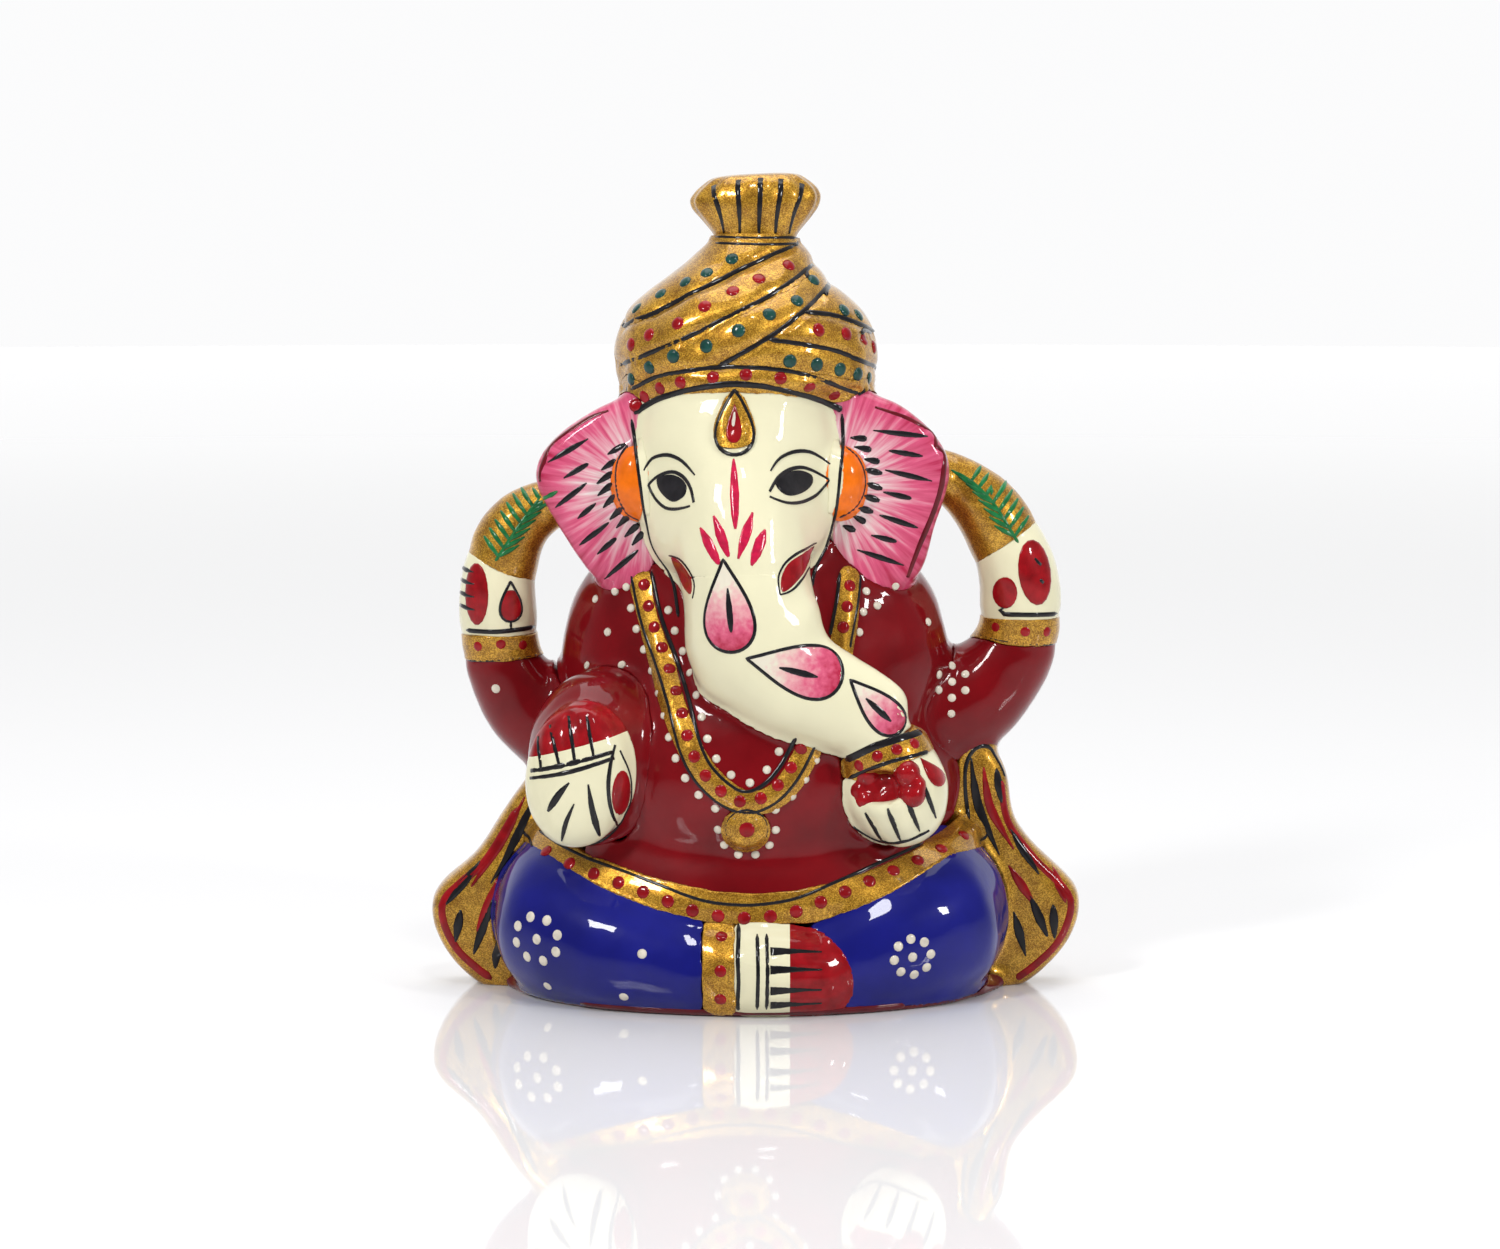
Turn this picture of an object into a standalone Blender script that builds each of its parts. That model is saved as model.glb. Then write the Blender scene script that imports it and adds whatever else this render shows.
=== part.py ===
"""A small seated elephant-headed figure in a wrapped turban, as separate painted castings.

The figure faces minus Y and stands on Z = 0. Its right side is minus X. Shapes are written in
millimetres and turned into metres by MM. Neighbouring pieces keep GAP between them: the piece
that lies in front keeps its form, and the one behind is cut back around it.
"""
import math

import bmesh
import bpy
from mathutils import Euler, Matrix, Vector
from mathutils.bvhtree import BVHTree

MM = 0.001
GAP = 0.3
SLIVER = 0.02
HEIGHT = 90.0
BASE_TOP = 0.6
BASE_HALF_WIDTH = 27.5
BASE_HALF_DEPTH = 17.3
BASE_CENTRE_Y = -1.3

FACE_X = -2.0
FACE_BOTTOM = 47.5
BRIM_FRONT_Y = -11.5
BRIM_LOW_Z = 67.6
BRIM_HIGH_Z = 69.3
TURBAN_LEAN = math.radians(12.0)
TURBAN_Y = 0.5
TURBAN_TOP = 82.6

BANGLE_HEIGHT = 2.7
CUFF_RIGHT_X = -5.5
CUFF_LEFT_X = -2.0
LIMB_HEIGHT = 1.14

SIDES = 12
BAND_SIDES = 6
STEPS = 3


def clear_scene():
    for obj in list(bpy.data.objects):
        bpy.data.objects.remove(obj, do_unlink=True)


# ---------------------------------------------------------------- curves and basic solids

def smooth_path(knots, steps, closed=False):
    """Points on a Catmull-Rom curve through knots, which are tuples of any one length."""
    count = len(knots)
    spans = count if closed else count - 1
    points = []
    for span in range(spans):
        if closed:
            near = [knots[(span + k) % count] for k in (-1, 0, 1, 2)]
        else:
            near = [knots[min(max(span + k, 0), count - 1)] for k in (-1, 0, 1, 2)]
        for step in range(steps):
            t = step / steps
            points.append(tuple(
                0.5 * (2 * b + (c - a) * t + (2 * a - 5 * b + 4 * c - d) * t ** 2
                       + (3 * b - a - 3 * c + d) * t ** 3)
                for a, b, c, d in zip(*near)))
    if not closed:
        points.append(tuple(knots[-1]))
    return points


def new_object(name, bm):
    """An object from a bmesh drawn in millimetres; the bmesh is used up."""
    bmesh.ops.recalc_face_normals(bm, faces=bm.faces)
    bm.transform(Matrix.Scale(MM, 4))
    mesh = bpy.data.meshes.new(name)
    bm.to_mesh(mesh)
    bm.free()
    obj = bpy.data.objects.new(name, mesh)
    bpy.context.collection.objects.link(obj)
    return obj


def close_end(bm, ring, centre):
    tip = bm.verts.new(centre)
    for a, b in zip(ring, ring[1:] + ring[:1]):
        bm.faces.new((a, b, tip))


def skin(bm, rings, closed=False):
    pairs = list(zip(rings, rings[1:]))
    if closed:
        pairs.append((rings[-1], rings[0]))
    for low, high in pairs:
        for i in range(len(low)):
            j = (i + 1) % len(low)
            bm.faces.new((low[i], low[j], high[j], high[i]))


def ellipsoid(name, centre, radii, turn=(0, 0, 0)):
    bm = bmesh.new()
    bmesh.ops.create_uvsphere(bm, u_segments=14, v_segments=8, radius=1.0)
    size = Matrix.Diagonal((*radii, 1.0))
    turned = Euler([math.radians(a) for a in turn]).to_matrix().to_4x4()
    bm.transform(Matrix.Translation(centre) @ turned @ size)
    return new_object(name, bm)


def stack(name, levels):
    """A solid of level oval sections, each (z, x centre, y centre, x radius, y radius)."""
    bm = bmesh.new()
    rings = []
    for z, cx, cy, rx, ry in levels:
        angles = [2 * math.pi * i / SIDES for i in range(SIDES)]
        rings.append([bm.verts.new((cx + rx * math.cos(a), cy + ry * math.sin(a), z))
                      for a in angles])
    skin(bm, rings)
    for ring, level in ((rings[0], levels[0]), (rings[-1], levels[-1])):
        close_end(bm, ring, (level[1], level[2], level[0]))
    return new_object(name, bm)


def tube(name, knots, up=(0, 1, 0), thickness=1.0, closed=False, sides=SIDES):
    """A limb or a band along a smooth path of (x, y, z, radius), with domed ends.

    thickness scales the section along the direction up.
    """
    stations = smooth_path(knots, STEPS, closed)
    count = len(stations)
    bm = bmesh.new()

    def ring(centre, tangent, radius):
        v = (Vector(up) - tangent * tangent.dot(Vector(up))).normalized()
        u = v.cross(tangent)
        angles = [2 * math.pi * i / sides for i in range(sides)]
        return [bm.verts.new(centre + u * radius * math.cos(a)
                             + v * radius * thickness * math.sin(a)) for a in angles]

    def tangent_at(i):
        after = (i + 1) % count if closed else min(i + 1, count - 1)
        before = (i - 1) % count if closed else max(i - 1, 0)
        return (Vector(stations[after][:3]) - Vector(stations[before][:3])).normalized()

    rings = [ring(Vector(s[:3]), tangent_at(i), s[3]) for i, s in enumerate(stations)]
    if closed:
        skin(bm, rings, closed=True)
        return new_object(name, bm)
    for index, way in ((0, -1), (count - 1, 1)):
        centre, radius = Vector(stations[index][:3]), stations[index][3]
        outward = tangent_at(index) * way
        dome = []
        for angle in (math.radians(35), math.radians(65)):
            dome.append(ring(centre + outward * radius * math.sin(angle),
                             tangent_at(index), radius * math.cos(angle)))
        rings = dome[::-1] + rings if way < 0 else rings + dome
        close_end(bm, dome[-1], centre + outward * radius)
    skin(bm, rings)
    return new_object(name, bm)


def plate(name, outline, front, thickness, edge):
    """A plate of (x, z) points that faces minus Y, with its rims rounded by edge."""
    bm = bmesh.new()
    face = bm.faces.new([bm.verts.new((x, front, z)) for x, z in outline])
    grown_part = bmesh.ops.extrude_face_region(bm, geom=[face])["geom"]
    moved = [g for g in grown_part if isinstance(g, bmesh.types.BMVert)]
    bmesh.ops.translate(bm, verts=moved, vec=(0, thickness, 0))
    rims = [e for e in bm.edges if abs(e.verts[0].co.y - e.verts[1].co.y) < 1e-6]
    bmesh.ops.bevel(bm, geom=rims, offset=edge, segments=2, profile=0.5, affect="EDGES")
    bmesh.ops.triangulate(bm, faces=[f for f in bm.faces if len(f.verts) > 4])
    return new_object(name, bm)


# ---------------------------------------------------------------- joining and cutting

def settle(obj):
    """Replaces an object's mesh by what its modifiers make of it."""
    graph = bpy.context.evaluated_depsgraph_get()
    done = bpy.data.meshes.new_from_object(obj.evaluated_get(graph), depsgraph=graph)
    obj.modifiers.clear()
    obj.data = done
    return obj


def discard(objects):
    for obj in objects:
        bpy.data.objects.remove(obj, do_unlink=True)


def blend(name, parts, voxel, keep):
    """Melts overlapping solids into one smooth casting and thins its faces to the share keep."""
    bm = bmesh.new()
    for part in parts:
        bm.from_mesh(part.data)
    bm.transform(Matrix.Scale(1 / MM, 4))
    obj = new_object(name, bm)
    remesh = obj.modifiers.new("melt", "REMESH")
    remesh.mode = "VOXEL"
    remesh.voxel_size = voxel * MM
    relax = obj.modifiers.new("relax", "SMOOTH")
    relax.factor = 0.5
    relax.iterations = 12
    thin = obj.modifiers.new("thin", "DECIMATE")
    thin.ratio = keep
    discard(parts)
    return settle(obj)


def section(name, source, *planes):
    """A copy of source, kept on the front side of each plane (point, normal) and closed."""
    bm = bmesh.new()
    bm.from_mesh(source.data)
    bm.transform(Matrix.Scale(1 / MM, 4))
    for point, normal in planes:
        cut = bmesh.ops.bisect_plane(
            bm, geom=bm.verts[:] + bm.edges[:] + bm.faces[:], plane_co=point,
            plane_no=normal, clear_inner=True, dist=1e-5)
        edges = [g for g in cut["geom_cut"] if isinstance(g, bmesh.types.BMEdge)]
        if edges:
            bmesh.ops.contextual_create(bm, geom=edges)
    bmesh.ops.triangulate(bm, faces=[f for f in bm.faces if len(f.verts) > 4])
    return new_object(name, bm)


def other_side(plane):
    """The plane that faces the other way, a gap beyond this one."""
    point, normal = plane
    away = Vector(normal).normalized()
    return Vector(point) - away * GAP, -away


def grown(obj):
    """A hidden cutter: obj swollen by the gap."""
    bm = bmesh.new()
    bm.from_mesh(obj.data)
    bm.normal_update()
    shifts = [v.normal * GAP * MM * min(v.calc_shell_factor(), 1.6) for v in bm.verts]
    for vert, shift in zip(bm.verts, shifts):
        vert.co += shift
    mesh = bpy.data.meshes.new(obj.name + "_cutter")
    bm.to_mesh(mesh)
    bm.free()
    cutter = bpy.data.objects.new(mesh.name, mesh)
    bpy.context.collection.objects.link(cutter)
    cutter.hide_render = True
    cutter.display_type = "WIRE"
    return cutter


def drop_slivers(bm):
    """Leaves plain triangles, with no short edges and no pair of faces folded back to back."""
    bmesh.ops.dissolve_degenerate(bm, edges=bm.edges, dist=SLIVER * MM)
    bmesh.ops.triangulate(bm, faces=bm.faces)
    twins = {}
    for face in bm.faces:
        twins.setdefault(frozenset(face.verts), []).append(face)
    folded = [face for pair in twins.values() if len(pair) > 1 for face in pair]
    bmesh.ops.delete(bm, geom=folded, context="FACES")


def keep_main_body(obj):
    """Drops the chips that a cut leaves, so that a piece is one body."""
    bm = bmesh.new()
    bm.from_mesh(obj.data)
    left = set(bm.verts)
    bodies = []
    while left:
        body, edge = set(), [next(iter(sorted(left, key=lambda v: v.index)))]
        while edge:
            vert = edge.pop()
            if vert in body:
                continue
            body.add(vert)
            edge.extend(e.other_vert(vert) for e in vert.link_edges)
        bodies.append(body)
        left -= body
    bodies.sort(key=len)
    for body in bodies[:-1]:
        bmesh.ops.delete(bm, geom=list(body), context="VERTS")
    drop_slivers(bm)
    bm.to_mesh(obj.data)
    bm.free()


def corners(obj):
    return [(min(v.co[i] for v in obj.data.vertices), max(v.co[i] for v in obj.data.vertices))
            for i in range(3)]


def boxes_meet(one, other):
    return all(a[0] < b[1] and b[0] < a[1] for a, b in zip(corners(one), corners(other)))


def cut_back(obj, cutters):
    """Cuts obj back around the swollen forms of the pieces in front of it."""
    for cutter in cutters:
        if boxes_meet(obj, cutter):
            trim = obj.modifiers.new("trim", "BOOLEAN")
            trim.operation = "DIFFERENCE"
            trim.solver = "EXACT"
            trim.object = cutter
    if obj.modifiers:
        settle(obj)
        keep_main_body(obj)


def fit_together(layers):
    """Cuts every piece back around the whole forms of all layers before its own."""
    cutters = []
    for layer in layers:
        swollen = [grown(piece) for piece in layer]
        for piece in layer:
            cut_back(piece, cutters)
        cutters.extend(swollen)
    discard(cutters)


def surface_y(obj, x, z):
    """How far forward the front of obj lies at (x, z)."""
    bm = bmesh.new()
    bm.from_mesh(obj.data)
    tree = BVHTree.FromBMesh(bm)
    bm.free()
    hit = tree.ray_cast(Vector((x, -2 * HEIGHT, z)) * MM, Vector((0, 1, 0)))[0]
    return hit.y / MM


# ---------------------------------------------------------------- the pieces

def make_base_plate():
    levels = [(0.0, 0, BASE_CENTRE_Y, BASE_HALF_WIDTH, BASE_HALF_DEPTH),
              (BASE_TOP, 0, BASE_CENTRE_Y, BASE_HALF_WIDTH, BASE_HALF_DEPTH)]
    return stack("base_plate", levels)


def above_base(name, source):
    return section(name, source, ((0, 0, BASE_TOP + GAP), (0, 0, 1)))


def make_tunic():
    belly = ellipsoid("belly", (-0.5, -2.5, 24.5), (19.5, 14.3, 15.5))
    chest = ellipsoid("chest", (0, 2.5, 36.5), (22.2, 12.6, 18.9))
    waist = ellipsoid("waist", (0, 2.5, 23), (23.3, 14.3, 15))
    return blend("tunic", [belly, chest, waist], voxel=1.0, keep=0.045)


def make_hips():
    """The seat of the blue garment, under the sash."""
    form = ellipsoid("hips_form", (0, 4.5, 9.5), (24, 12.8, 12.5))
    hips = above_base("hips", form)
    discard([form])
    return hips


def make_right_leg():
    """The right leg, its ankle cuff and its foot lie along one limb."""
    limb = tube("limb", [(-14, 5, 8.2, 7.4), (-21.5, -3, 8.4, 8.0), (-17.5, -9, 6.6, 6.7),
                         (-11.5, -12.3, 5.3, 5.7), (-5.5, -13.8, 4.6, 5.1),
                         (-1.5, -14.8, 4.4, 4.8), (3, -15.0, 4.3, 4.6), (6.8, -15.0, 4.1, 3.8)],
                up=(0, 0, 1), thickness=LIMB_HEIGHT)
    limb = blend("right_limb", [limb], voxel=0.9, keep=0.06)
    cuff_right = ((CUFF_RIGHT_X, 0, 0), (1, 0, 0))
    cuff_left = ((CUFF_LEFT_X, 0, 0), (-1, 0, 0))
    floor = ((0, 0, BASE_TOP + GAP), (0, 0, 1))
    leg = section("right_leg", limb, other_side(cuff_right), floor)
    cuff = section("ankle_cuff", limb, cuff_right, cuff_left, floor)
    foot = section("foot", limb, other_side(cuff_left), floor)
    discard([limb])
    return leg, cuff, foot


def make_left_leg():
    limb = tube("limb", [(14, 5, 8.2, 7.4), (20.3, -4, 8.8, 8.2), (15.5, -9.2, 7.0, 7.0),
                         (9.5, -12.0, 5.4, 5.8)], up=(0, 0, 1), thickness=LIMB_HEIGHT)
    limb = blend("left_limb", [limb], voxel=0.9, keep=0.05)
    leg = above_base("left_leg", limb)
    discard([limb])
    return leg


def make_waist_sash():
    """A belt that dips low under the belly and rises to both hips."""
    knots = []
    turns = 12
    for i in range(turns):
        a = 2 * math.pi * i / turns
        dip = max(0.0, math.cos(a)) ** 2
        knots.append((23.4 * math.sin(a), 0.8 - 15.8 * math.cos(a), 17.2 - 6.0 * dip, 1.5))
    return tube("waist_sash", knots, up=(0, 0, 1), closed=True, sides=BAND_SIDES)


def make_necklace(tunic):
    """A gold band from the right ear down and round below the trunk, and its short left end."""
    routes = {
        "necklace": [(-12.4, 46), (-10.4, 38.5), (-8.2, 31.5), (-5.2, 26), (-0.8, 23),
                     (3.2, 24.6), (6.0, 29.5)],
        "necklace_left_end": [(8.8, 37), (9.6, 41.5), (10.0, 46)],
    }
    return [tube(name, [(x, surface_y(tunic, x, z) + 0.1, z, 1.0) for x, z in route],
                 thickness=0.8, sides=BAND_SIDES) for name, route in routes.items()]


def make_pendant(tunic):
    x, z, radius = -1.0, 20.2, 2.1
    outline = [(x + radius * math.sin(a), z + radius * math.cos(a))
               for a in [2 * math.pi * i / SIDES for i in range(SIDES)]]
    return plate("pendant", outline, surface_y(tunic, x, z) - 0.9, 3.0, 0.4)


def make_face():
    """Skull, cheeks and trunk are melted together and then parted under the cheeks."""
    skull = ellipsoid("skull", (FACE_X, -1.5, 60), (11.8, 10.6, 12.5))
    cheeks = ellipsoid("cheeks", (FACE_X, -5.5, 53.5), (10.4, 8.0, 9.5))
    nose = tube("nose", [(-1.8, -8.5, 55, 7.2), (-1.2, -11.0, 48, 7.0), (-0.6, -12.6, 43, 6.6),
                         (0.4, -13.4, 38.8, 6.2), (3.2, -14.0, 35.4, 5.4),
                         (8.0, -14.4, 33.3, 4.5), (12.3, -14.8, 31.2, 3.7)])
    face = blend("face_form", [skull, cheeks, nose], voxel=0.8, keep=0.06)
    parting = ((FACE_X, 0, FACE_BOTTOM), (0, 0, 1))
    head = section("head", face, parting)
    trunk = section("trunk", face, other_side(parting))
    discard([face])
    return head, trunk


def make_ears():
    right = [(-11.5, 65), (-17.5, 64), (-23.8, 58), (-20.5, 50.8), (-16.4, 45.4),
             (-11.4, 46.8), (-9.5, 56)]
    left = [(8.0, 65), (15, 65), (20.9, 59), (19.3, 52), (17.0, 45.6), (10.8, 46.6), (6.5, 56)]
    return [plate(name, smooth_path(outline, STEPS, closed=True), -5.2, 3.6, 0.8)
            for name, outline in (("right_ear", right), ("left_ear", left))]


def make_inner_ears():
    return [ellipsoid(name, (x, -6.6, 56.5), (2.4, 1.9, 3.7))
            for name, x in (("right_inner_ear", -12.9), ("left_inner_ear", 9.4))]


def drop_outline(x, z, half_height, width):
    """A drop with its point up and its round end down."""
    angles = [2 * math.pi * i / SIDES for i in range(SIDES)]
    return [(x + width * math.sin(a) * math.sin(a / 2) ** 1.5, z + half_height * math.cos(a))
            for a in angles]


def make_forehead_drop(head):
    """The setting leans with the brow; the stone sits in it and stands a little proud."""
    x, z = FACE_X - 0.2, 63.6
    front = surface_y(head, x, z)
    brow = math.atan2(surface_y(head, x, z + 2) - surface_y(head, x, z - 2), 4)
    lean = (Matrix.Translation(Vector((x, front, z)) * MM) @ Matrix.Rotation(-brow, 4, "X")
            @ Matrix.Translation(Vector((-x, -front, -z)) * MM))
    setting = plate("forehead_setting", drop_outline(x, z, 3.4, 2.5), front - 0.7, 2.0, 0.3)
    stone = ellipsoid("forehead_stone", (x, front - 0.8, z - 0.7), (0.8, 0.6, 1.9))
    for piece in (setting, stone):
        piece.data.transform(lean)
    return setting, stone


def make_turban():
    """One wound dome, parted along its wraps, with its brim leaning back."""
    sizes = [(60.0, -0.9, 13.2, 11.2), (65.0, -0.9, 13.9, 11.7), (68.0, -0.9, 14.4, 12.0),
             (71.5, -1.0, 14.6, 12.0), (74.3, -1.1, 13.6, 11.3), (76.2, -1.2, 11.5, 9.9),
             (78.2, -0.9, 8.9, 8.2), (80.2, -0.3, 6.5, 6.2), (TURBAN_TOP, 0.0, 4.8, 4.4)]
    dome = stack("dome", [(z, x, TURBAN_Y, rx, ry) for z, x, rx, ry in sizes])

    def leaning(z):
        return ((0, BRIM_FRONT_Y, z), (0, math.sin(TURBAN_LEAN), math.cos(TURBAN_LEAN)))

    def rising(x, z, degrees):
        a = math.radians(degrees)
        return ((x, 0, z), (-math.sin(a), 0, math.cos(a)))

    brim_top = leaning(BRIM_HIGH_Z)
    first, second, third = rising(-4.4, 69.4, 34), rising(-0.7, 75.0, 28), rising(0, 80.2, 26)
    pieces = [
        section("turban_brim", dome, leaning(BRIM_LOW_Z), other_side(brim_top)),
        section("turban_side_wrap", dome, brim_top, other_side(first)),
        section("turban_lower_wrap", dome, brim_top, first, other_side(second)),
        section("turban_middle_wrap", dome, brim_top, second, other_side(third)),
        section("turban_top_wrap", dome, third),
    ]
    discard([dome])
    return pieces


def make_turban_crest():
    """The gathered end of the cloth, which flares like a fan."""
    neck = TURBAN_TOP + GAP
    return stack("turban_crest", [
        (neck, 0, TURBAN_Y, 4.5, 3.8), (84.6, 0, TURBAN_Y, 5.3, 4.1),
        (86.6, 0, TURBAN_Y, 7.1, 4.8), (87.6, 0.1, TURBAN_Y, 7.0, 4.6),
        (88.8, 0.3, TURBAN_Y, 5.9, 3.8), (89.6, 0.4, TURBAN_Y, 4.6, 3.0),
        (HEIGHT, 0.4, TURBAN_Y, 2.8, 1.8)])


def make_rear_arm(side, knots, bangle_z, wrist, wrist_normal):
    """A raised rear arm: sleeve, bangle, hand, and the palm leaf that it holds to the ear."""
    arm = tube("arm", knots)
    bangle_low = ((0, 0, bangle_z), (0, 0, 1))
    bangle_high = ((0, 0, bangle_z + BANGLE_HEIGHT), (0, 0, -1))
    leaf_start = (wrist, wrist_normal)
    pieces = (
        section(side + "_rear_sleeve", arm, other_side(bangle_low)),
        section(side + "_rear_bangle", arm, bangle_low, bangle_high),
        section(side + "_rear_hand", arm, other_side(bangle_high), other_side(leaf_start)),
        section(side + "_rear_leaf", arm, other_side(bangle_high), leaf_start),
    )
    discard([arm])
    return pieces


def make_rear_arms():
    right = make_rear_arm(
        "right", [(-17, 4, 27, 6.5), (-24.3, 4, 30.2, 5.2), (-27.8, 3.4, 35.5, 4.2),
                  (-28.4, 3.0, 40, 4.2), (-28.5, 2.6, 45, 4.0), (-26.8, 2.5, 50.6, 3.6),
                  (-23.3, 2.5, 53.4, 2.7), (-19.5, 2.5, 54.4, 2.2)],
        36.6, (-28.8, 2.5, 47.1), (0.42, 0, 0.9))
    left = make_rear_arm(
        "left", [(17, 4, 29, 6.5), (24.6, 4, 32.2, 5.6), (28.8, 3.4, 37.6, 4.5),
                 (29.4, 3.0, 42, 4.4), (29.0, 2.6, 46.4, 4.2), (26.0, 2.5, 52.6, 3.7),
                 (22.3, 2.5, 56.0, 2.8), (18.5, 2.5, 57.8, 2.2)],
        38.4, (27.4, 2.5, 49.3), (-0.63, 0, 0.78))
    return right, left


def make_raised_arm():
    """The blessing hand shows its palm, in the mouth of a full sleeve."""
    sleeve = ellipsoid("raised_sleeve", (-17.0, -8.0, 26.8), (7.8, 7.4, 9.4))
    hand = ellipsoid("raised_hand", (-19.0, -14.2, 25.6), (5.7, 3.4, 7.7), turn=(0, 6, 0))
    return sleeve, hand


def make_lower_hand():
    """The left hand hangs below its bangle and holds a sweet for the trunk."""
    forearm = tube("forearm", [(13.6, -13.6, 29.6, 4.4), (14.3, -13.8, 27.4, 4.9),
                               (15.3, -13.8, 23.6, 5.6)])
    bangle_low = ((14.4, 0, 27.0), (-0.34, 0, 0.94))
    bangle_high = ((14.0, 0, 29.4), (0.34, 0, -0.94))
    bangle = section("left_hand_bangle", forearm, bangle_low, bangle_high)
    hand = section("left_hand", forearm, other_side(bangle_low))
    sweet = ellipsoid("sweet", (13.6, -17.6, 24.9), (3.3, 2.0, 1.9))
    discard([forearm])
    return bangle, hand, sweet


def make_shawl_ends():
    """Two scarf ends that flare out beside the knees and rest on the floor."""
    right = [(-19.5, 20), (-22.5, 24.2), (-26.2, 21.5), (-30.8, 14.5), (-35.8, 9.6),
             (-34.0, 3.4), (-28.4, -1.0), (-22.5, -0.5), (-19.5, 10)]
    left = [(22.0, 25), (25.0, 27.3), (27.6, 24), (28.5, 18.5), (32, 14.2), (36, 9.8),
            (33.8, 3.6), (27.5, -1.0), (21.5, -0.5), (19.5, 12)]
    floor = ((0, 0, 0), (0, 0, 1))
    ends = []
    for name, outline in (("right_shawl_end", right), ("left_shawl_end", left)):
        cloth = plate("cloth", smooth_path(outline, STEPS, closed=True), 0.2, 6.0, 1.2)
        ends.append(section(name, cloth, floor))
        discard([cloth])
    return ends


# ---------------------------------------------------------------- finish

def paint(obj, name, colour, roughness=0.25, metallic=0.0):
    material = bpy.data.materials.get(name) or bpy.data.materials.new(name)
    material.use_nodes = True
    shader = material.node_tree.nodes["Principled BSDF"]
    shader.inputs["Base Color"].default_value = (*colour, 1.0)
    shader.inputs["Roughness"].default_value = roughness
    shader.inputs["Metallic"].default_value = metallic
    obj.data.materials.clear()
    obj.data.materials.append(material)


def paint_all(pieces):
    paints = {
        "crimson_paint": ((0.22, 0.01, 0.015), 0.2, 0.0),
        "blue_paint": ((0.02, 0.02, 0.28), 0.2, 0.0),
        "cream_paint": ((0.8, 0.76, 0.6), 0.25, 0.0),
        "gold_paint": ((0.55, 0.3, 0.06), 0.35, 0.8),
        "pink_paint": ((0.65, 0.12, 0.25), 0.3, 0.0),
        "orange_paint": ((0.85, 0.18, 0.01), 0.3, 0.0),
        "dark_red_paint": ((0.1, 0.01, 0.01), 0.3, 0.0),
    }
    uses = {
        "crimson_paint": ("tunic", "raised_sleeve", "rear_sleeve", "sweet", "stone"),
        "blue_paint": ("leg", "hips"),
        "cream_paint": ("head", "trunk", "foot", "hand"),
        "gold_paint": ("bangle", "cuff", "sash", "necklace", "pendant", "setting", "turban",
                       "leaf", "shawl"),
        "pink_paint": ("right_ear", "left_ear"),
        "orange_paint": ("inner_ear",),
        "dark_red_paint": ("base",),
    }
    for obj in pieces:
        for name, words in uses.items():
            if any(word in obj.name for word in words):
                chosen = name
        if "inner_ear" in obj.name:
            chosen = "orange_paint"
        paint(obj, chosen, *paints[chosen])


def place(pieces):
    """Hangs every piece, with its origin at its middle, on an empty over the footprint."""
    figure = bpy.data.objects.new("figure", None)
    bpy.context.collection.objects.link(figure)
    corners = [v.co for obj in pieces for v in obj.data.vertices]
    middle = Vector([(max(c[i] for c in corners) + min(c[i] for c in corners)) / 2
                     for i in range(3)])
    middle.z = 0
    for obj in pieces:
        own = sum((v.co for v in obj.data.vertices), Vector()) / len(obj.data.vertices)
        obj.data.transform(Matrix.Translation(-own))
        obj.parent = figure
        obj.location = own
        obj.data.shade_smooth()
        obj.data.set_sharp_from_angle(angle=math.radians(40))
    figure.location = -middle


def build():
    clear_scene()
    base = make_base_plate()
    tunic = make_tunic()
    hips = make_hips()
    necklace = make_necklace(tunic)
    pendant = make_pendant(tunic)
    right_leg, cuff, foot = make_right_leg()
    left_leg = make_left_leg()
    sash = make_waist_sash()
    head, trunk = make_face()
    setting, stone = make_forehead_drop(head)
    ears = make_ears()
    inner_ears = make_inner_ears()
    turban = make_turban()
    crest = make_turban_crest()
    right_arm, left_arm = make_rear_arms()
    raised_sleeve, raised_hand = make_raised_arm()
    bangle, hand, sweet = make_lower_hand()
    shawl_ends = make_shawl_ends()

    layers = [[stone], [setting], [*turban, crest], [sweet], [bangle, hand], [head, trunk],
              inner_ears, ears, [raised_hand], [raised_sleeve], [sash],
              [right_leg, cuff, foot], [left_leg], shawl_ends, [*right_arm, *left_arm],
              necklace, [pendant], [tunic], [hips]]
    fit_together(layers)
    hems = [grown(end) for end in shawl_ends]
    cut_back(base, hems)
    discard(hems)

    pieces = [base] + [piece for layer in layers for piece in layer]
    paint_all(pieces)
    place(pieces)


build()
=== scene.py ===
import math

import bmesh
import bpy
import numpy as np
from mathutils import Matrix, Vector
from mathutils.bvhtree import BVHTree
from mathutils.kdtree import KDTree
from mathutils.noise import noise as noise_at


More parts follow.
